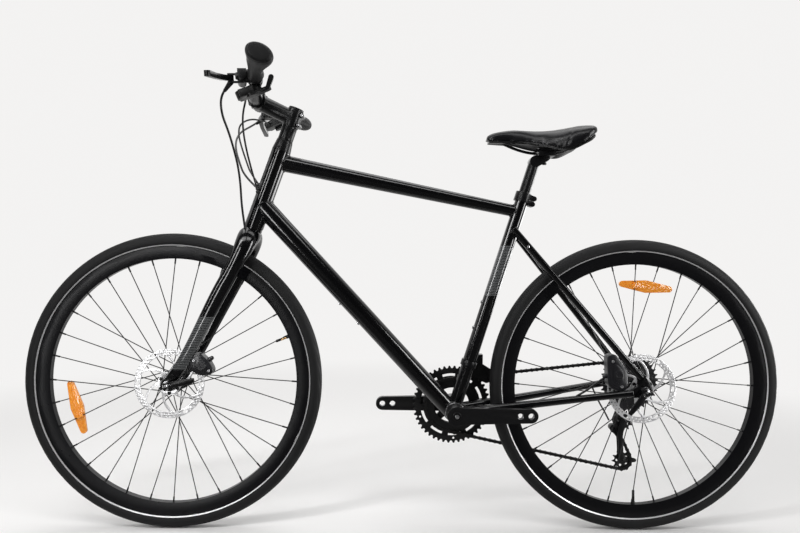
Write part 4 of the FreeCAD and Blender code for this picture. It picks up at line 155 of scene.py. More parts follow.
for name, spot, aim, along, size, watts in (
        ("long_strip", (0.1, 1.25, 2.55), (0.0, 0.0, 0.55), (1.0, 0.0, 0.0), (3.2, 0.5), 26.0),
        ("top_lamp", (-0.1, -0.5, 2.9), (-0.1, 0.0, 0.4), (1.0, 0.0, 0.0), (3.2, 1.6), 38.0),
        ("far_lamp", (0.3, -2.3, 1.6), (0.0, 0.0, 0.6), (1.0, 0.0, 0.0), (2.4, 1.0), 10.0),
        ("front_upright_box", (1.05, 1.8, 0.95), (0.1, 0.0, 0.6), (-0.31, 0.0, 0.95), (1.9, 0.2), 17.0),
        ("rear_upright_box", (-1.95, 1.0, 0.95), (0.0, 0.0, 0.6), (-0.31, 0.0, 0.95), (1.9, 0.4), 36.0),
        ("sloped_strip", (1.5, 1.2, 1.7), (0.1, 0.0, 0.55), (0.66, 0.0, -0.75), (1.9, 0.13), 15.0),
        ("rear_box", (-1.85, -0.95, 0.42), (-0.25, 0.0, 0.5), (0.5, -0.8, 0.0), (1.1, 0.8), 26.0)):
    light = bpy.data.lights.new(name, "AREA")
    light.shape = "RECTANGLE"
    light.size, light.size_y = size
    light.energy = watts
    lamp = bpy.data.objects.new(name, light)
    back = (Vector(spot) - Vector(aim)).normalized()
    right = (Vector(along) - back * back.dot(Vector(along))).normalized()
    turn = Matrix((right, back.cross(right), back)).transposed().to_4x4()
    lamp.matrix_world = Matrix.Translation(spot) @ turn
    lamp.visible_camera = False
    lamp.visible_diffuse = not name.endswith("box")
    scene.collection.objects.link(lamp)

# Frame: welded aluminium tubes under one coat of gloss black.
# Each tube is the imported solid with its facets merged; raised weld beads run round the mitred joints.
record = frame["record"]
body_of = {node: body for body, held in record["behaviour"]["bodies"].items() for node in held}


def mm(*point):
    """A point given in millimetres."""
    return Vector(point) / 1000.0


def keep(mesh, name, finishes, body, nodes=(), corner=35.0):
    """Makes a bmesh a piece that rides on a body, and stands for the CAD nodes that are named."""
    data = bpy.data.meshes.new(name)
    mesh.to_mesh(data)
    mesh.free()
    data.shade_smooth()
    data.set_sharp_from_angle(angle=math.radians(corner))
    piece = bpy.data.objects.new(name, data)
    scene.collection.objects.link(piece)
    for finish in finishes:
        data.materials.append(finish)
    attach(piece, body)
    if nodes:
        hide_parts(*nodes)
    return piece


def merged(node):
    """Bmesh of a CAD node with its loose triangles joined and its flat faces made whole."""
    mesh = bmesh.new()
    mesh.from_mesh(frame["nodes"][node].data)
    bmesh.ops.remove_doubles(mesh, verts=mesh.verts, dist=0.000004)
    bmesh.ops.dissolve_limit(
        mesh, angle_limit=math.radians(0.5), verts=mesh.verts, edges=mesh.edges)
    return mesh


def dress(node, finish, edge=0.0, corner=35.0, segments=2):
    """Stands a smooth copy of a CAD node in its place, with its corners eased by a bevel."""
    mesh = merged(node)
    if edge:
        sharp = [e for e in mesh.edges if e.calc_face_angle(0.0) > math.radians(corner)]
        bmesh.ops.bevel(
            mesh, geom=sharp, offset=edge, offset_type="OFFSET", segments=segments, profile=0.5,
            affect="EDGES", clamp_overlap=True, material=-1)
    return keep(mesh, "finished_" + node, [finish], body_of[node], [node], corner)


def new_finish(name, colour, roughness, metallic=0.0, specular=0.5):
    """A principled finish with its object coordinates, to build a surface on."""
    look = bpy.data.materials.new(name)
    look.use_nodes = True
    tree = look.node_tree
    shader = tree.nodes["Principled BSDF"]
    shader.inputs["Base Color"].default_value = (*colour, 1.0)
    shader.inputs["Roughness"].default_value = roughness
    shader.inputs["Metallic"].default_value = metallic
    shader.inputs["Specular IOR Level"].default_value = specular
    return look, tree, shader, add_node(tree, "TexCoord").outputs["Object"]


def grain(tree, shader, place, colour, spread, roughness, scale, height):
    """Fine noise that shifts colour and roughness a little and raises the surface; returns its value."""
    fine = add_node(tree, "TexNoise", [("Vector", place)], Scale=scale, Detail=4.0)
    broad = add_node(tree, "TexNoise", [("Vector", place)], Scale=scale / 14.0, Detail=3.0)
    tone = add_node(tree, "Mix", [(0, broad.outputs["Fac"])], data_type="RGBA")
    tone.inputs[6].default_value = (*[part * (1.0 - spread) for part in colour], 1.0)
    tone.inputs[7].default_value = (*[part * (1.0 + spread) for part in colour], 1.0)
    tree.links.new(tone.outputs[2], shader.inputs["Base Color"])
    shine = add_node(tree, "MapRange", [("Value", broad.outputs["Fac"])])
    shine.inputs["To Min"].default_value = roughness * 0.94
    shine.inputs["To Max"].default_value = roughness * 1.06
    tree.links.new(shine.outputs[0], shader.inputs["Roughness"])
    relief = add_node(
        tree, "Bump", [("Height", fine.outputs["Fac"])], Strength=1.0, Distance=height)
    tree.links.new(relief.outputs[0], shader.inputs["Normal"])
    return tone.outputs[2]


def grained(name, colour, spread, roughness, scale, height, metallic=0.0, specular=0.5):
    """A whole finish made of one grain."""
    look, tree, shader, place = new_finish(name, colour, roughness, metallic, specular)
    grain(tree, shader, place, colour, spread, roughness, scale, height)
    return look


GLOSS = (0.0022, 0.0022, 0.0026)


def gloss_paint(name, hatch=None, outside=0.0):
    """Gloss black with a trace of orange peel.

    A hatch adds a band of fine grey lines, beyond a distance from the middle of the bicycle.
    """
    look, tree, shader, place = new_finish(name, GLOSS, 0.13, specular=0.5)
    tone = grain(tree, shader, place, GLOSS, 0.25, 0.13, 90.0, 0.000002)
    if hatch:
        low, high, pitch = hatch
        parted = add_node(tree, "SeparateXYZ", [(0, place)])
        height = parted.outputs["Z"]
        line = add_node(tree, "Math", [(0, height)], operation="PINGPONG")
        line.inputs[1].default_value = pitch / 2.0
        drawn = add_node(tree, "MapRange", [("Value", line.outputs[0])])
        drawn.inputs["From Min"].default_value = pitch * 0.15
        drawn.inputs["From Max"].default_value = pitch * 0.3
        greys = add_node(tree, "Mix", [(0, drawn.outputs[0])], data_type="RGBA")
        greys.inputs[6].default_value = (0.011, 0.012, 0.012, 1.0)
        greys.inputs[7].default_value = (0.105, 0.109, 0.112, 1.0)
        above = add_node(tree, "Math", [(0, height)], operation="GREATER_THAN")
        above.inputs[1].default_value = low
        below = add_node(tree, "Math", [(0, height)], operation="LESS_THAN")
        below.inputs[1].default_value = high
        band = add_node(
            tree, "Math", [(0, above.outputs[0]), (1, below.outputs[0])], operation="MULTIPLY")
        aside = add_node(tree, "Math", [(0, parted.outputs["Y"])], operation="ABSOLUTE")
        clear_of_middle = add_node(tree, "Math", [(0, aside.outputs[0])], operation="GREATER_THAN")
        clear_of_middle.inputs[1].default_value = outside
        panel = add_node(
            tree, "Math", [(0, band.outputs[0]), (1, clear_of_middle.outputs[0])], operation="MULTIPLY")
        printed = add_node(
            tree, "Mix", [(0, panel.outputs[0]), (6, tone), (7, greys.outputs[2])], data_type="RGBA")
        tree.links.new(printed.outputs[2], shader.inputs["Base Color"])
    return look


gloss_black = gloss_paint("gloss_black")
seat_tube_paint = gloss_paint("gloss_black_seat_panel", hatch=(0.5546, 0.6745, 0.0037))
for node in ("head_tube", "top_tube", "down_tube", "chainstays", "seatstays"):
    dress(node, gloss_black)
dress("seat_tube", seat_tube_paint)
dress("rear_dropouts", gloss_black, edge=0.0008)


def joint_loops(node, foot, axis, radius):
    """Outer corner loops of a mitred tube end, which lie on a round tube about an axis."""
    mesh = merged(node)
    on_round = set()
    for vert in mesh.verts:
        offset = vert.co - foot
        if abs((offset - axis * offset.dot(axis)).length - radius) < 0.00008:
            on_round.add(vert)
    links = {}
    for edge in mesh.edges:
        first, second = edge.verts
        if first in on_round and second in on_round and edge.calc_face_angle(0.0) > 0.4:
            links.setdefault(first, []).append(second)
            links.setdefault(second, []).append(first)
    loops = []
    while links:
        start = next(iter(links))
        loop = [start]
        ahead = links.pop(start)
        while ahead:
            step = next((vert for vert in ahead if vert in links), None)
            if step is None:
                break
            loop.append(step)
            ahead = links.pop(step)
        points = [vert.co.copy() for vert in loop]
        length = sum((a - b).length for a, b in zip(points, points[1:] + points[:1]))
        loops.append((length, points))
    mesh.free()
    longest = max(length for length, _ in loops)
    return [points for length, points in loops if length > longest * 0.94]


def drawn_mesh(curve):
    """Mesh of a curve with its thickness."""
    holder = bpy.data.objects.new(curve.name + "_line", curve)
    scene.collection.objects.link(holder)
    data = bpy.data.meshes.new_from_object(holder.evaluated_get(bpy.context.evaluated_depsgraph_get()))
    bpy.data.objects.remove(holder)
    return data


def bead_along(name, points, radius, pitch, body):
    """Weld bead along a closed line, in overlapping ripples of one pitch."""
    curve = bpy.data.curves.new(name, "CURVE")
    curve.dimensions = "3D"
    curve.bevel_depth = radius
    curve.bevel_resolution = 2
    spline = curve.splines.new("POLY")
    spline.use_cyclic_u = True
    stations = []
    travelled = 0.0
    for start, end in zip(points, points[1:] + points[:1]):
        span = (end - start).length
        while travelled < span:
            stations.append(start.lerp(end, travelled / span))
            travelled += pitch / 3.0
        travelled -= span
    spline.points.add(len(stations) - 1)
    for i, station in enumerate(stations):
        spline.points[i].co = (*station, 1.0)
        spline.points[i].radius = (1.0, 0.92, 0.78)[i % 3]
    mesh = bmesh.new()
    mesh.from_mesh(drawn_mesh(curve))
    keep(mesh, name, [gloss_black], body, corner=80.0)


steer_foot = mm(495.9, 0.0, 328.9)
steer_up = Vector((-0.32887, 0.0, 0.94438))
steer_forward = Vector((0.94438, 0.0, 0.32887))
seat_up = Vector((-0.29737, 0.0, 0.95476))
crank_centre = mm(-114.59, 0.0, 283.0)
across = Vector((0.0, 1.0, 0.0))
for node, foot, axis, radius, label in (
        ("top_tube", steer_foot, steer_up, 0.0225, "head"),
        ("down_tube", steer_foot, steer_up, 0.0225, "head"),
        ("top_tube", crank_centre, seat_up, 0.016, "seat"),
        ("seatstays", crank_centre, seat_up, 0.016, "seat"),
        ("down_tube", crank_centre, across, 0.021, "crank_shell"),
        ("chainstays", crank_centre, across, 0.021, "crank_shell")):
    for i, points in enumerate(joint_loops(node, foot, axis, radius)):
        bead_along("weld_%s_to_%s_%d" % (node, label, i + 1), points, 0.0019, 0.0022, "frame")

# Frame fittings: plated bolts in the bottle bosses and rack eyes, and rubber grommets in the head tube.
# All are turned pieces, set on the tube they belong to; the lines enter the frame by the grommets.
bright_steel = grained("plated_steel", (0.52, 0.52, 0.53), 0.12, 0.28, 900.0, 0.00001, metallic=1.0)
soft_rubber = grained("soft_rubber", (0.011, 0.011, 0.011), 0.3, 0.6, 700.0, 0.00006, specular=0.35)


def turned(mesh, outline, foot, axis, steps=28):
    """Spins an outline of (radius, height) points, in millimetres, about an axis that starts at foot."""
    before = set(mesh.verts)
    row = [mesh.verts.new((radius / 1000.0, 0.0, height / 1000.0)) for radius, height in outline]
    ribs = [mesh.edges.new(pair) for pair in zip(row, row[1:])]
    bmesh.ops.spin(
        mesh, geom=row + ribs, cent=(0, 0, 0), axis=(0, 0, 1), angle=math.tau, steps=steps, use_merge=True)
    made = [vert for vert in mesh.verts if vert not in before]
    bmesh.ops.remove_doubles(mesh, verts=made, dist=0.000008)
    made = [vert for vert in mesh.verts if vert not in before]
    bmesh.ops.recalc_face_normals(mesh, faces=list({face for vert in made for face in vert.link_faces}))
    lay = Vector(axis).to_track_quat("Z", "Y").to_matrix().to_4x4()
    bmesh.ops.transform(mesh, matrix=Matrix.Translation(foot) @ lay, verts=made)


def bolt(mesh, seat, axis, radius, height, steps=20):
    """Round-headed bolt with a sunk socket, standing on its seat."""
    turned(mesh, [
        (0.0, height * 0.35), (radius * 0.5, height * 0.35), (radius * 0.56, height), (radius * 0.82, height),
        (radius, height * 0.72), (radius, -1.0), (0.0, -1.0)], seat, axis, steps)


down_front = steer_foot + steer_up * 0.459
down_rear = crank_centre - mm(0, 0, 10)
down_along = (down_rear - down_front).normalized()
down_up = Vector((-down_along.z, 0.0, down_along.x))
seat_front = Vector((0.95476, 0.0, 0.29737))
mesh = bmesh.new()
for i in range(2):
    spot = down_front + down_along * (0.295 + 0.064 * i)
    half_tube = 0.0235 - 0.0025 * (spot - down_front).length / (down_rear - down_front).length
    bolt(mesh, spot + down_up * half_tube, down_up, 4.4, 2.6)
    bolt(mesh, crank_centre + seat_up * (0.200 + 0.064 * i) + seat_front * 0.016, seat_front, 4.4, 2.6)
stays = merged("seatstays")
walls = BVHTree.FromBMesh(stays)
for x, z in ((-281.0, 671.0), (-300.0, 631.0)):
    for side in (1, -1):
        for shift in (0.0, 4.0, -4.0, 8.0, -8.0):
            start = mm(x + shift, 200.0 * side, z)
            spot, out, *_ = walls.ray_cast(start, Vector((0.0, -side, 0.0)))
            if spot and spot.y * side > 0.0 and out.y * side > 0.7:
                bolt(mesh, spot, out, 3.2, 1.8)
                break
stays.free()
keep(mesh, "frame_bolts", [bright_steel], "frame")
mesh = bmesh.new()
for port, inside in (
        ((353.2, 8.05, 799.2), (34.8, -16.05, 29.8)), ((351.3, 14.9, 791.1), (8.7, 13.1, 34.9)),
        ((351.8, 0.75, 808.2), (23.2, -9.75, 30.8))):
    turned(mesh, [(2.0, -1.0), (5.2, -1.0), (5.4, 1.6), (4.4, 3.4), (2.9, 4.2), (2.0, 4.2), (2.0, -1.0)],
           mm(*port), Vector(inside).normalized(), 24)
keep(mesh, "line_grommets", [soft_rubber], "frame")

# Seat collar: forged aluminium clamp with two cross bolts, in satin black.
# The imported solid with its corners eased.
satin_black = grained("satin_black_alloy", (0.004, 0.004, 0.0045), 0.25, 0.3, 1400.0, 0.00001, 0.0, 0.24)
dress("seat_clamp", satin_black, edge=0.0007)

# Fork: alloy blades and crown on a steel steerer, painted gloss black.
# A panel of fine grey lines lies low on the outer face of each blade.
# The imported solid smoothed; the dust cover, spacers and cap of the headset are satin black.
fork_paint = gloss_paint("gloss_black_fork_panel", hatch=(0.381, 0.502, 0.0039), outside=0.0545)
dress("fork", fork_paint, corner=40.0)
dress("headset_stack", satin_black, edge=0.0006)
dress("headset_bearings", bright_steel)

# Stem and handlebar: forged stem with a bolted face plate, and one butted tube bent back at both sides.
# Four barrels carry the face bolts and two at the back pinch the steerer.
dress("stem", satin_black, edge=0.0010)
dress("handlebar", satin_black)
bar_centre = mm(355.0, 0.0, 1005.6)
stem_tilt = math.radians(90.0 - 70.8 + 6.0)
stem_out = Vector((math.cos(stem_tilt), 0.0, math.sin(stem_tilt)))
stem_over = Vector((-stem_out.z, 0.0, stem_out.x))
barrels = bmesh.new()
heads = bmesh.new()
for side in (1, -1):
    for rise in (1, -1):
        foot = bar_centre + stem_over * (rise * 0.0165) + across * (side * 0.0155)
        turned(barrels, [(0, -11), (3.6, -11), (4.6, -9), (4.6, 11), (3.9, 12), (0, 12)], foot, stem_out, 24)
        bolt(heads, foot + stem_out * 0.0122, stem_out, 3.4, 2.0)
for height in (0.662, 0.686):
    foot = steer_foot + steer_up * height - steer_forward * 0.0185
    turned(barrels, [(0, -15), (4.4, -15), (5.4, -14), (5.4, 14), (4.4, 15), (0, 15)], foot, across, 24)
    bolt(heads, foot + across * 0.0152, across, 3.3, 1.8)
keep(barrels, "stem_barrels", [satin_black], "steering")
keep(heads, "stem_bolts", [bright_steel], "steering")

# Grips: soft rubber sleeves with a palm wing at the outer end, moulded with rows of fine ribs.
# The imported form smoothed, with its ribs raised in the finish.
grip_rubber, tree, shader, place = new_finish("grip_rubber", (0.006, 0.006, 0.0063), 0.5, specular=0.2)
grain(tree, shader, place, (0.006, 0.006, 0.0063), 0.3, 0.5, 520.0, 0.00005)
ribs = add_node(tree, "TexWave", [("Vector", place)], Scale=62.0, Distortion=0.0)
ribs.bands_direction = "Y"
relief = add_node(tree, "Bump", [("Height", ribs.outputs["Fac"])], Strength=0.8, Distance=0.0005)
tree.links.new(shader.inputs["Normal"].links[0].from_socket, relief.inputs["Normal"])
tree.links.new(relief.outputs[0], shader.inputs["Normal"])
dress("grips", grip_rubber, corner=60.0)

# Brake controls: cast master cylinders with their reservoirs, and forged two-finger levers.
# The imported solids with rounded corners, bolted round the bar.
moulded_black = grained("moulded_black", (0.005, 0.005, 0.0054), 0.25, 0.38, 1100.0, 0.00003, specular=0.22)
dress("brake_master_cylinders", moulded_black, edge=0.0012)
mesh = bmesh.new()
screws = bmesh.new()
for side in (1, -1):
    root = mm(326.9, 178.0 * side, 1014.5)
    ahead = Vector((0.976, 0.204 * side, -0.076))
    up = Vector((0.087, -0.047 * side, 0.995))
    turned(mesh, [
        (0, -3), (9, -2.5), (13.2, 1), (14.6, 7), (14.2, 15), (12.2, 25), (8.8, 35), (6.6, 41), (0, 41.5)],
        root + up * 0.001, ahead, 32)
    for reach in (0.012, 0.026):
        bolt(screws, root + ahead * reach + up * (0.0156 - reach * 0.1), up, 2.0, 1.0, 14)
keep(mesh, "brake_reservoirs", [moulded_black], "steering", corner=50.0)
keep(screws, "reservoir_screws", [bright_steel], "steering")
dress("left_brake_lever", satin_black, edge=0.0016)
dress("right_brake_lever", satin_black, edge=0.0016)

# Shifters: moulded plastic pods clamped under the bar, each with a thumb lever behind it.
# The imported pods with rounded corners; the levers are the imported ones, made fuller towards the tip.
dress("shifter_pods", moulded_black, edge=0.0016)
for node in ("left_thumb_lever", "right_thumb_lever"):
    mesh = merged(node)
    mesh.normal_update()
    low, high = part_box(node)
    for vert in mesh.verts:
        rise = (vert.co.z - low.z) / (high.z - low.z)
        vert.co += vert.normal * (0.0014 + 0.0018 * rise)
    keep(mesh, "finished_" + node, [moulded_black], body_of[node], [node])

# Tyres: black rubber casings with a slick crown, slanted cuts on the shoulders and a stripe on each wall.
# One closed section is spun round the axle, and the cuts are pressed into the shoulder rows.
tyre_rubber = grained("tyre_rubber", (0.008, 0.008, 0.0086), 0.35, 0.62, 460.0, 0.00009, specular=0.2)
stripe_silver = grained("reflective_stripe", (0.58, 0.58, 0.59), 0.08, 0.34, 1600.0, 0.00004, metallic=0.55)
TUBE_CENTRE = 328.5
TYRE_STEPS = 300
CUT_DEPTH = 0.0008
axles = {"front": mm(545.0, 0.0, 346.0), "rear": mm(-545.0, 0.0, 346.0)}
for side, axle in axles.items():
    mesh = bmesh.new()
    angles = [-134.0 + 268.0 * i / 56.0 for i in range(57)]
    outline = [(17.5, angle) for angle in angles] + [(14.5, angle) for angle in reversed(angles)]
    row = []
    for reach, angle in outline:
        turn = math.radians(angle)
        y = reach * math.sin(turn)
        radius = TUBE_CENTRE + reach * math.cos(turn)
        if reach > 15.0 and 9.0 < abs(angle) < 12.0:
            radius -= 0.9
        row.append(mesh.verts.new((radius / 1000.0, y / 1000.0, 0.0)))
    ribs = [mesh.edges.new(pair) for pair in zip(row, row[1:] + row[:1])]
    bmesh.ops.spin(
        mesh, geom=row + ribs, cent=(0, 0, 0), axis=(0, 1, 0), angle=math.tau, steps=TYRE_STEPS,
        use_merge=True)
    bmesh.ops.recalc_face_normals(mesh, faces=mesh.faces)
    for face in mesh.faces:
        middle = face.calc_center_median()
        radius = math.hypot(middle.x, middle.z) * 1000.0
        if 317.6 < radius < 320.4 and abs(middle.y) > 0.0125:
            face.material_index = 1
    for vert in mesh.verts:
        radius = math.hypot(vert.co.x, vert.co.z) * 1000.0
        lean = math.degrees(math.atan2(abs(vert.co.y) * 1000.0, radius - TUBE_CENTRE))
        reach = math.hypot(vert.co.y * 1000.0, radius - TUBE_CENTRE)
        if reach > 16.0 and 17.0 < lean < 52.0:
            step = round(math.atan2(vert.co.z, vert.co.x) / math.tau * TYRE_STEPS)
            if (step + round(lean / 6.0)) % 6 < 2:
                inward = Vector((vert.co.x, 0.0, vert.co.z)).normalized() * math.cos(math.radians(lean))
                inward.y = math.copysign(math.sin(math.radians(lean)), vert.co.y)
                vert.co -= inward * CUT_DEPTH
    bmesh.ops.translate(mesh, verts=mesh.verts, vec=axle)
    keep(mesh, side + "_tyre_casing", [tyre_rubber, stripe_silver], side + "_wheel",
         [side + "_tyre"], corner=50.0)

# Rims, spokes and hubs: anodised double-wall rims laced with black steel spokes to turned hub shells.
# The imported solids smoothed, the spokes a little fuller; spoke heads sit in the flanges, a valve in each rim.
rim_black = grained("rim_black", (0.004, 0.004, 0.005), 0.25, 0.28, 1200.0, 0.000003, 0.0, 0.15)
spoke_black = grained("spoke_black", (0.006, 0.006, 0.0063), 0.25, 0.36, 900.0, 0.00001, 0.0, 0.35)
hub_black = grained("hub_black", (0.0045, 0.0045, 0.005), 0.25, 0.28, 1300.0, 0.00002, 0.0, 0.5)
for side, axle in axles.items():
    dress(side + "_rim", rim_black)
    mesh = merged(side + "_spokes")
    mesh.normal_update()
    for vert in mesh.verts:
        vert.co += vert.normal * 0.0002
    keep(mesh, side + "_spoke_set", [spoke_black], side + "_wheel", [side + "_spokes"])
    dress(side + "_hub", hub_black, edge=0.0004)
    dress(side + "_axle", bright_steel)
    dress(side + "_qr_lever", satin_black, edge=0.0007)
for side, flanges in (("front", (22.0, -35.0)), ("rear", (33.0, -20.5))):
    mesh = bmesh.new()
    for i in range(32):
        leading = 1 if (i // 2) % 2 else -1
        angle = math.tau * i / 32.0 + leading * math.tau * 6.0 / 32.0
        root = axles[side] + mm(24.0 * math.cos(angle), flanges[i % 2], 24.0 * math.sin(angle))
        turned(mesh, [(0, 1.4), (0.9, 1.2), (1.7, 0.5), (1.8, 0.0), (0.9, -0.6), (0, -0.6)],
               root - across * (leading * 0.0015), across * -leading, 8)
        turned(mesh, [(0, 1.05), (0.74, 0.74), (1.05, 0.0), (1.0, -0.9), (0, -0.9)],
               root + across * (leading * 0.0025), across * leading, 8)
    keep(mesh, side + "_spoke_heads", [bright_steel], side + "_wheel")
brass = grained("brass", (0.62, 0.38, 0.16), 0.15, 0.32, 900.0, 0.00001, metallic=1.0)
for side, angle, stem in (("front", 158.2, brass), ("rear", -91.0, satin_black)):
    out = Vector((math.cos(math.radians(angle)), 0.0, math.sin(math.radians(angle))))
    mesh = bmesh.new()
    turned(mesh, [
        (0, -2), (3.9, -2), (3.9, 8), (3.2, 8.6), (3.2, 22), (2.6, 23), (3.1, 23.6), (3.1, 33), (2.4, 34.5),
        (0, 34.5)], axles[side] + out * 0.289, -out, 20)
    for face in mesh.faces:
        if 0.2665 < (face.calc_center_median() - axles[side]).dot(out) < 0.2808:
            face.material_index = 1
    keep(mesh, side + "_valve", [soft_rubber, stem], side + "_wheel")

# Brake rotors: stamped stainless discs, ground round and round, each held by six black bolts.
# One flat outline with its windows and holes is cut as a plate; six thin arms sweep out to the ring.
def stamped(outlines, thickness, edge):
    """Bmesh of a plate square to Y, cut from closed outlines of (x, z) points in millimetres.

    The outlines inside another are holes.
    """
    curve = bpy.data.curves.new("stamping", "CURVE")
    curve.dimensions = "2D"
    curve.fill_mode = "BOTH"
    curve.extrude = thickness / 2000.0 - edge
    curve.bevel_depth = edge
    curve.bevel_resolution = 1
    curve.offset = -edge
    for points in outlines:
        spline = curve.splines.new("POLY")
        spline.points.add(len(points) - 1)
        for knot, (x, z) in zip(spline.points, points):
            knot.co = (x / 1000.0, z / 1000.0, 0.0, 1.0)
        spline.use_cyclic_u = True
    mesh = bmesh.new()
    mesh.from_mesh(drawn_mesh(curve))
    bmesh.ops.remove_doubles(mesh, verts=mesh.verts, dist=0.000002)
    bmesh.ops.rotate(mesh, verts=mesh.verts, cent=(0, 0, 0), matrix=Matrix.Rotation(math.pi / 2.0, 3, "X"))
    bmesh.ops.recalc_face_normals(mesh, faces=mesh.faces)
    return mesh


def polar(radius, degrees):
    """Point of a flat outline at a radius and an angle."""
    return radius * math.cos(math.radians(degrees)), radius * math.sin(math.radians(degrees))


def oval(radius, degrees, half_long, half_high, count):
    """Hole whose long way follows the circle through its middle."""
    points = []
    for i in range(count):
        turn = math.tau * i / count
        points.append(polar(
            radius + half_high * math.sin(turn), degrees + math.degrees(half_long * math.cos(turn) / radius)))
    return points


outlines = [[polar(80.0, 3.0 * i) for i in range(120)], [polar(17.8, 9.0 * i) for i in range(40)]]
for i in range(6):
    window = []
    for radius in range(29, 66, 4):
        window.append(polar(radius, 60.0 * i - 0.9 * (radius - 27) + math.degrees(3.2 / radius)))
    for k in range(5):
        window.append(polar(66.4, 60.0 * i - 31.0 + 12.5 * k))
    for radius in range(65, 28, -4):
        window.append(polar(radius, 60.0 * (i + 1) - 0.9 * (radius - 27) - math.degrees(3.2 / radius)))
    outlines.append(window)
    outlines.append(oval(73.2, 60.0 * i, 6.4, 3.9, 18))
    for k, lean in enumerate((9.5, 13.5, 17.5, 21.5, 25.5, 29.0)):
        outlines.append(oval((70.2, 76.3)[k % 2], 60.0 * i + lean, 1.7, 1.7, 10))
        outlines.append(oval((76.3, 70.2)[k % 2], 60.0 * i - lean + 0.6, 1.7, 1.7, 10))
for side, axle in axles.items():
    ground_steel, tree, shader, place = new_finish(
        side + "_ground_steel", (0.75, 0.75, 0.76), 0.3, metallic=0.5)
    centred = add_node(tree, "VectorMath", [(0, place)], operation="SUBTRACT")
    centred.inputs[1].default_value = axle
    flat = add_node(tree, "VectorMath", [(0, centred.outputs[0])], operation="MULTIPLY")
    flat.inputs[1].default_value = (1.0, 0.0, 1.0)
    radius = add_node(tree, "VectorMath", [(0, flat.outputs[0])], operation="LENGTH")
    marks = add_node(tree, "TexNoise", [("W", radius.outputs["Value"])], noise_dimensions="1D")
    marks.inputs["Scale"].default_value = 2600.0
    marks.inputs["Detail"].default_value = 3.0
    tone = add_node(tree, "Mix", [(0, marks.outputs["Fac"])], data_type="RGBA")
    tone.inputs[6].default_value = (0.66, 0.66, 0.67, 1.0)
    tone.inputs[7].default_value = (0.88, 0.88, 0.89, 1.0)
    tree.links.new(tone.outputs[2], shader.inputs["Base Color"])
    shine = add_node(tree, "MapRange", [("Value", marks.outputs["Fac"])])
    shine.inputs["To Min"].default_value = 0.26
    shine.inputs["To Max"].default_value = 0.42
    tree.links.new(shine.outputs[0], shader.inputs["Roughness"])
    along = add_node(tree, "VectorMath", [(0, flat.outputs[0])], operation="CROSS_PRODUCT")
    along.inputs[1].default_value = (0.0, 1.0, 0.0)
    ground = add_node(tree, "VectorMath", [(0, along.outputs[0])], operation="NORMALIZE")
    tree.links.new(ground.outputs[0], shader.inputs["Tangent"])
    shader.inputs["Anisotropic"].default_value = 0.8
    low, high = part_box(side + "_rotor")
    mesh = stamped(outlines, (high.y - low.y) * 1000.0, 0.0002)
    bmesh.ops.translate(mesh, verts=mesh.verts, vec=(axle.x, (low.y + high.y) / 2.0, axle.z))
    keep(mesh, side + "_brake_disc", [ground_steel], side + "_wheel", [side + "_rotor"])
    mesh = bmesh.new()
    for i in range(6):
        angle = math.tau * (i + 0.5) / 6.0
        seat = Vector((axle.x + 0.022 * math.cos(angle), high.y, axle.z + 0.022 * math.sin(angle)))
        bolt(mesh, seat, across, 3.9, 2.2)
    keep(mesh, side + "_rotor_bolts", [satin_black], side + "_wheel")

# Brake calipers: two-piece castings that straddle the rotors, bolted to the fork blade and the left dropout.
# Two rounded halves and a bridge form each body.
# A raised cover, a piston cap, bolts and the hose union stand on it.
def eased(points, reach):
    """Outline with each corner drawn as a short curve that starts and ends at reach from it."""
    drawn = []
    for before, corner, after in zip(points[-1:] + points[:-1], points, points[1:] + points[:1]):
        ends = []
        for other in (before, after):
            span = math.hypot(other[0] - corner[0], other[1] - corner[1])
            share = min(reach / span, 0.45)
            ends.append([corner[k] + (other[k] - corner[k]) * share for k in range(2)])
        for k in range(6):
            t = k / 5.0
            first, middle, last = (1 - t) ** 2, 2 * t * (1 - t), t * t
            drawn.append([first * ends[0][m] + middle * corner[m] + last * ends[1][m] for m in range(2)])
    return drawn


def scaled(points, share):
    """Outline drawn in towards its middle."""
    middle = [sum(point[k] for point in points) / len(points) for k in range(2)]
    return [[middle[k] + (point[k] - middle[k]) * share for k in range(2)] for point in points]


def add_plate(mesh, outline, reach, middle, thickness, edge):
    """Adds to a bmesh a stamped plate with eased corners, whose middle stands at a distance along Y."""
    plate = stamped([eased(outline, reach)], thickness, edge)
    bmesh.ops.translate(plate, verts=plate.verts, vec=mm(0, middle, 0))
    data = bpy.data.meshes.new("plate")
    plate.to_mesh(data)
    plate.free()
    mesh.from_mesh(data)


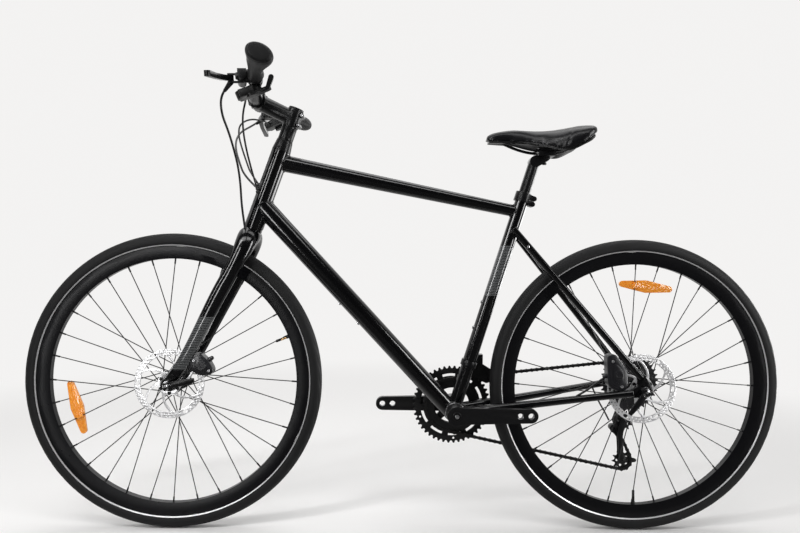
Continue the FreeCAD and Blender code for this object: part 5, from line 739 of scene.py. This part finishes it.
caliper_black = grained("caliper_black", (0.010, 0.010, 0.0125), 0.3, 0.3, 1100.0, 0.00003, specular=0.5)
for name, body, outline, bridge, low, high, cap, bolts, union, union_along in (
        ("front_caliper", "steering",
         [(498, 412), (474, 420), (452, 400), (441, 380), (446, 369), (470, 366), (499, 380)],
         [(474, 420), (452, 400), (441, 380), (452, 386), (470, 404)], 25.0, 53.0, (468, 391),
         [(452, 379), (486, 402)], (455, 39, 401), (-0.8, 0.0, 0.6)),
        ("rear_caliper", "frame",
         [(-458, 424), (-478, 428), (-506, 392), (-510, 352), (-492, 338), (-462, 352)],
         [(-458, 424), (-470, 426), (-474, 400), (-472, 360), (-462, 352)], 38.0, 66.0, (-484, 380),
         [(-471, 411), (-493, 353)], (-464, 54, 377), (1.0, 0.0, -0.4))):
    mesh = bmesh.new()
    for points, middle, thickness in (
            (outline, low + 6.0, 12.0), (outline, high - 6.0, 12.0), (bridge, (low + high) / 2.0, 10.0),
            (scaled(outline, 0.8), high, 3.0), (scaled(outline, 0.52), high + 1.0, 5.0)):
        add_plate(mesh, points, 9.0, middle, thickness, 0.0012 if thickness < 11.0 else 0.0035)
    turned(mesh, [
        (0, 0.6), (4.5, 0.6), (5.2, 1.6), (8.6, 1.6), (9.0, 0.8), (10.6, 0.8), (11.0, 0), (0, 0)],
        mm(cap[0], high + 3.4, cap[1]), across)
    turned(mesh, [(2.6, 12), (4.4, 11), (5.6, 3), (5.6, -3), (2.6, -3), (2.6, 12)],
           mm(*union), union_along, 20)
    keep(mesh, name + "_body", [caliper_black], body, [name])
    mesh = bmesh.new()
    for x, z in bolts:
        bolt(mesh, mm(x, high + 1.5, z), across, 3.4, 2.4)
    keep(mesh, name + "_bolts", [bright_steel], body)

# Wheel reflectors: clear amber lenses between the spokes, moulded with rows of small prisms.
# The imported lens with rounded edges; its prisms are raised in the finish.
amber_lens, tree, shader, place = new_finish("amber_lens", (0.82, 0.24, 0.012), 0.12)
prisms = add_node(tree, "TexVoronoi", [("Vector", place)], Scale=330.0)
tone = add_node(tree, "Mix", [(0, prisms.outputs["Distance"])], data_type="RGBA")
tone.inputs[6].default_value = (1.0, 0.43, 0.055, 1.0)
tone.inputs[7].default_value = (0.80, 0.20, 0.012, 1.0)
tree.links.new(tone.outputs[2], shader.inputs["Base Color"])
relief = add_node(tree, "Bump", [("Height", prisms.outputs["Distance"])], Strength=0.7, Distance=0.0009)
tree.links.new(relief.outputs[0], shader.inputs["Normal"])
shader.inputs["Coat Weight"].default_value = 0.6
dress("front_reflector", amber_lens, edge=0.0008)
dress("rear_reflector", amber_lens, edge=0.0008)

# Chain, sprockets and chainrings: dark plated roller chain over black steel cogs and two black rings.
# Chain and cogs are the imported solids; the inner ring is packed too, cut free of the outer one.
# The outer ring is stamped with slots and teeth, and four bolts hold both rings to the crank.
chain_dark = grained("chain_dark", (0.022, 0.0215, 0.0215), 0.35, 0.34, 800.0, 0.00002, 0.6, 0.5)
cog_steel = grained("cog_steel", (0.03, 0.03, 0.032), 0.3, 0.34, 700.0, 0.00002, 0.6, 0.4)
ring_black = grained("ring_black", (0.006, 0.006, 0.0064), 0.3, 0.36, 900.0, 0.00002, 0.0, 0.35)
for node, finish in (("chain", chain_dark), ("cassette", cog_steel)):
    frame["nodes"][node].data.materials.clear()
    frame["nodes"][node].data.materials.append(finish)
crank_lean = -0.5
mesh = merged("chainrings")
bmesh.ops.bisect_plane(
    mesh, geom=mesh.verts[:] + mesh.edges[:] + mesh.faces[:], plane_co=mm(0, -50.5, 0), plane_no=-across,
    clear_outer=True)
bmesh.ops.holes_fill(mesh, edges=[edge for edge in mesh.edges if edge.is_boundary], sides=0)
for i in range(4):
    x, z = polar(52.0, 90.0 * i + 45.0 + crank_lean)
    bolt(mesh, crank_centre + mm(x, -58.4, z), -across, 6.0, 2.0, 24)
keep(mesh, "inner_chainring", [ring_black], "crank", ["chainrings"])
outlines = [[polar(43.0, 7.5 * i) for i in range(48)]]
rim = []
OUTER_TEETH = 46
for i in range(OUTER_TEETH):
    for share, radius in (
            (0.0, 95.4), (0.13, 95.2), (0.2, 93.6), (0.3, 90.6), (0.42, 89.4), (0.5, 89.2), (0.58, 89.4),
            (0.7, 90.6), (0.8, 93.6), (0.87, 95.2)):
        rim.append(polar(radius, (i + share) * 360.0 / OUTER_TEETH))
outlines.append(rim)
for i in range(10):
    slot = [polar(76.4, 36.0 * i + 2.4 * k) for k in range(11)]
    outlines.append(slot + [polar(70.4, 36.0 * i + 24.0 - 2.4 * k) for k in range(11)])
for i in range(5):
    outlines.append(oval(83.0, 72.0 * i + 50.0, 2.6, 2.6, 12))
mesh = stamped(outlines, 1.8, 0.0002)
bmesh.ops.translate(mesh, verts=mesh.verts, vec=crank_centre + mm(0, -51.5, 0))
keep(mesh, "outer_chainring", [ring_black], "crank", ["chainrings"])

# Cranks: forged alloy arms on a splined spindle, satin black, with bright threads in the pedal eyes.
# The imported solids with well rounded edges; a thin threaded liner shows in each eye.
crank_black = grained("crank_black", (0.005, 0.005, 0.0056), 0.25, 0.34, 1500.0, 0.00001, 0.0, 0.3)
dress("left_crank_arm", crank_black, edge=0.0022, segments=3)
dress("right_crank_arm", crank_black, edge=0.0016, segments=3)
dress("crank_spindle", satin_black, edge=0.0008)
dress("bottom_bracket", satin_black, edge=0.0004)
crank_along = Vector((math.cos(math.radians(crank_lean)), 0.0, math.sin(math.radians(crank_lean))))
mesh = bmesh.new()
for side in (1, -1):
    for reach in (0.170, 0.145):
        foot = crank_centre - crank_along * (side * reach) + across * (side * 0.0605)
        outline = [(6.85, 0.0)]
        for i in range(10):
            outline += [(6.55, 1.3 * i + 0.3), (6.95, 1.3 * i + 0.95)]
        outline += [(6.85, 13.2), (7.12, 13.2), (7.12, 0.0), (6.85, 0.0)]
        turned(mesh, outline, foot, across * side, 32)
for side in (1, -1):
    bolt(mesh, crank_centre + across * (side * 0.0762), across * side, 4.6, 1.2, 24)
keep(mesh, "crank_steel", [bright_steel], "crank")
# Plated rings on both faces of the crank shell: bare faced edges, whose brightness is also a painted highlight
# round the shell's rim.
mesh = bmesh.new()
for side in (1, -1):
    turned(mesh, [(20.2, 32.6), (22.4, 32.6), (22.7, 33.4), (22.2, 34.9), (20.2, 34.9), (20.2, 32.6)],
           crank_centre, across * side, 64)
keep(mesh, "shell_edges", [bright_steel], "frame")

# Derailleurs: alloy and steel linkages in satin black, with moulded pulleys in the rear cage.
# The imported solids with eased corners, hung from the right dropout and clamped on the seat tube.
# The pulley cage is two slim stamped arms held apart by the pulley bolts.
for node in ("derailleur_bracket", "derailleur_link", "derailleur_knuckle", "front_derailleur_body"):
    dress(node, satin_black, edge=0.0008)
dress("front_derailleur_cage", ring_black, edge=0.0003)
pulleys = []
for node in ("guide_pulley", "tension_pulley"):
    dress(node, moulded_black, edge=0.0003)
    low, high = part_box(node)
    pulleys.append((low + high) / 2.0)
cage_down = (pulleys[1] - pulleys[0]).normalized()
cage_front = Vector((-cage_down.z, 0.0, cage_down.x))
cage_length = (pulleys[1] - pulleys[0]).length * 1000.0
low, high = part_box("derailleur_cage")
arm = [
    (-8, 0), (-6, 6), (0, 9), (14, 14), (30, 15.5), (50, 13), (70, 11), (88, 10.5), (cage_length, 10.5),
    (cage_length + 7.5, 7), (cage_length + 10.5, 0), (cage_length + 7.5, -7), (cage_length, -10), (90, -7),
    (80, -1.5), (60, 0), (40, 2), (25, 1), (12, -5), (4, -8.5), (-5, -6.5)]
lug = [(14, 12), (10, 22), (14, 29), (22, 32), (29, 28), (34, 20), (44, 12), (30, 8)]
tail = [(cage_length - 8, -4), (cage_length - 6, -20), (cage_length - 3, -37), (cage_length + 2, -39),
        (cage_length + 6, -36), (cage_length + 8, -20), (cage_length + 9, -4)]
mesh = bmesh.new()
for outline, middle, thickness in (
        (arm, high.y * 1000.0 - 0.85, 1.7), (arm, low.y * 1000.0 + 0.85, 1.7),
        (lug, low.y * 1000.0 + 0.85, 1.5), (tail, low.y * 1000.0 + 0.85, 1.5)):
    flat = []
    for reach, forward in outline:
        spot = pulleys[0] * 1000.0 + cage_down * reach + cage_front * forward
        flat.append((spot.x, spot.z))
    add_plate(mesh, flat, 5.0, middle, thickness, 0.0003)
pin_end = (low.y - high.y) * 1000.0 + 0.8
for centre in pulleys:
    seat = Vector((centre.x, high.y - 0.0004, centre.z))
    turned(mesh, [(0, 0), (2.4, 0), (2.4, pin_end), (0, pin_end)], seat, across, 20)
    bolt(mesh, seat, across, 4.2, 1.6)
keep(mesh, "pulley_cage", [ring_black], "changer_cage", ["derailleur_cage"])

# Seatpost, saddle rails and base: black alloy post with a rail clamp, bent steel rails and a moulded base.
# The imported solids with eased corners; the base is drawn out a little to meet the cover.
dress("seatpost", satin_black, edge=0.0009)
dress("saddle_rails", satin_black)
mesh = merged("saddle_shell")
mesh.normal_update()
for vert in mesh.verts:
    vert.co += vert.normal * 0.0011
keep(mesh, "saddle_base", [moulded_black], "saddle", ["saddle_shell"])

# Saddle: foam under a smooth black cover, drawn tight over a hard base.
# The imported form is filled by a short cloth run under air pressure, then smoothed.
cover_black = grained("saddle_cover", (0.0036, 0.0036, 0.0046), 0.2, 0.29, 620.0, 0.00001, specular=0.25)
mesh = merged("saddle_cushion")
mesh.normal_update()
for vert in mesh.verts:
    vert.co -= vert.normal * (0.0018 if vert.normal.z > -0.2 else 0.0)
data = bpy.data.meshes.new("saddle_fill")
mesh.to_mesh(data)
mesh.free()
pad = bpy.data.objects.new("saddle_fill", data)
scene.collection.objects.link(pad)
refine = pad.modifiers.new("refine", "REMESH")
refine.mode = "VOXEL"
refine.voxel_size = 0.0045
data = bpy.data.meshes.new_from_object(pad.evaluated_get(bpy.context.evaluated_depsgraph_get()))
pad.modifiers.clear()
pad.data = data
rest = [vert.co.copy() for vert in data.vertices]
facing = [vert.normal.copy() for vert in data.vertices]
air_fill = pad.modifiers.new("air_fill", "CLOTH")
air_fill.settings.use_pressure = True
air_fill.settings.uniform_pressure_force = 4.0
air_fill.settings.effector_weights.gravity = 0.0
for step in range(1, 21):
    scene.frame_set(step)
filled = pad.evaluated_get(bpy.context.evaluated_depsgraph_get())
swollen = [vert.co.copy() for vert in filled.data.vertices]
pad.modifiers.clear()
scene.frame_set(1)
for vert, start, end, out in zip(data.vertices, rest, swollen, facing):
    upward = min(1.0, max(0.0, (out.z + 0.75) / 0.75))
    most = 0.0004 + 0.0042 * upward * upward * (3.0 - 2.0 * upward)
    move = end - start
    vert.co = start + move * min(1.0, most / max(move.length, 0.000001))
smooth = pad.modifiers.new("smooth", "SUBSURF")
smooth.levels = 1
smooth.render_levels = 1
data = bpy.data.meshes.new_from_object(pad.evaluated_get(bpy.context.evaluated_depsgraph_get()))
bpy.data.objects.remove(pad)
mesh = bmesh.new()
mesh.from_mesh(data)
bmesh.ops.recalc_face_normals(mesh, faces=mesh.faces)
for step in range(36):
    eased_verts = mesh.verts if step < 14 else [vert for vert in mesh.verts if vert.normal.z > 0.0]
    bmesh.ops.smooth_vert(
        mesh, verts=eased_verts, factor=0.5, use_axis_x=True, use_axis_y=True, use_axis_z=True)
mesh.normal_update()
for vert in mesh.verts:
    seam = abs(vert.co.x + 0.366 + (vert.co.z - 0.93) * 0.35) / 0.006
    if seam < 1.0 and abs(vert.co.y) > 0.03 and vert.normal.z > -0.3:
        vert.co -= vert.normal * 0.0007 * (1.0 - seam) ** 2
cushion = keep(mesh, "saddle_cover", [cover_black], "saddle", ["saddle_cushion"], corner=70.0)

# Lines: brake hoses and gear cables in black sheaths, from the controls to the frame, fork and rear wheel.
# Each is a tube along one smooth spline; those from the bar to the head tube stand free in place, carried by no
# body.
sheath_black = grained("sheath_black", (0.005, 0.005, 0.005), 0.25, 0.36, 700.0, 0.00003, specular=0.4)


def line(name, points, radius, node, ends):
    """Tube along a smooth spline led by a route's points, carried by one body, or left standing free when it
    runs between two.
    """
    curve = bpy.data.curves.new(name, "CURVE")
    curve.dimensions = "3D"
    curve.bevel_depth = radius
    curve.bevel_resolution = 4
    curve.use_fill_caps = True
    spline = curve.splines.new("NURBS")
    spline.points.add(len(points) - 1)
    for knot, point in zip(spline.points, points):
        knot.co = (*mm(*point), 1.0)
    spline.order_u = 3
    spline.use_endpoint_u = True
    spline.resolution_u = 10
    data = drawn_mesh(curve)
    data.name = name
    data.materials.clear()
    data.materials.append(sheath_black)
    data.shade_smooth()
    piece = bpy.data.objects.new(name, data)
    scene.collection.objects.link(piece)
    if len(ends) == 1:
        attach(piece, ends[0])
    else:
        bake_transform(piece)
    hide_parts(node)


line("front_hose", [
    (393.1, 167.1, 987.4), (404.4, 157.8, 976.9), (405, 145, 943), (396, 122, 912), (389, 98, 876),
    (384, 76, 840), (383, 56, 802), (384, 40, 762), (381, 28, 722), (377, 21, 690)], 0.0025,
    "front_brake_hose", ["steering"])
line("rear_hose", [
    (393.1, -167.1, 987.4), (404.4, -157.8, 976.9), (426, -128, 956), (430, -96, 928), (422, -66, 898),
    (407, -38, 866), (388, -8, 829), (353.2, 8.05, 799.2)], 0.0025, "rear_brake_hose",
    ["frame", "steering", (353, 8, 799), (404, -158, 977)])
line("left_gear_cable", [
    (354.0, 144.4, 982.6), (359.6, 117.0, 980.9), (370, 100, 955), (373, 84, 925), (371, 64, 890),
    (366, 44, 856), (360, 28, 826), (351.3, 14.9, 791.1)], 0.0022, "shift_cables",
    ["frame", "steering", (351, 15, 791), (360, 117, 981)])
line("right_gear_cable", [
    (354.0, -144.4, 982.6), (359.6, -117.0, 980.9), (392, -98, 985), (418, -84, 968), (416, -64, 936),
    (402, -42, 900), (385, -20, 862), (375, -9, 839), (351.8, 0.75, 808.2)], 0.0022, "shift_cables",
    ["frame", "steering", (352, 1, 808), (360, -117, 981)])
line("caliper_hose", [
    (-392, 55, 328), (-416, 56, 342), (-440, 56, 361), (-460.8, 54, 374)], 0.0025,
    "rear_brake_hose", ["frame"])
line("changer_loop", [
    (-467, -64, 325), (-478, -68, 304), (-490, -70, 281), (-502, -67, 261), (-509, -60, 244)], 0.0022,
    "shift_cables", ["frame", "changer_bracket", (-467, -64, 325), (-505, -64, 255)])
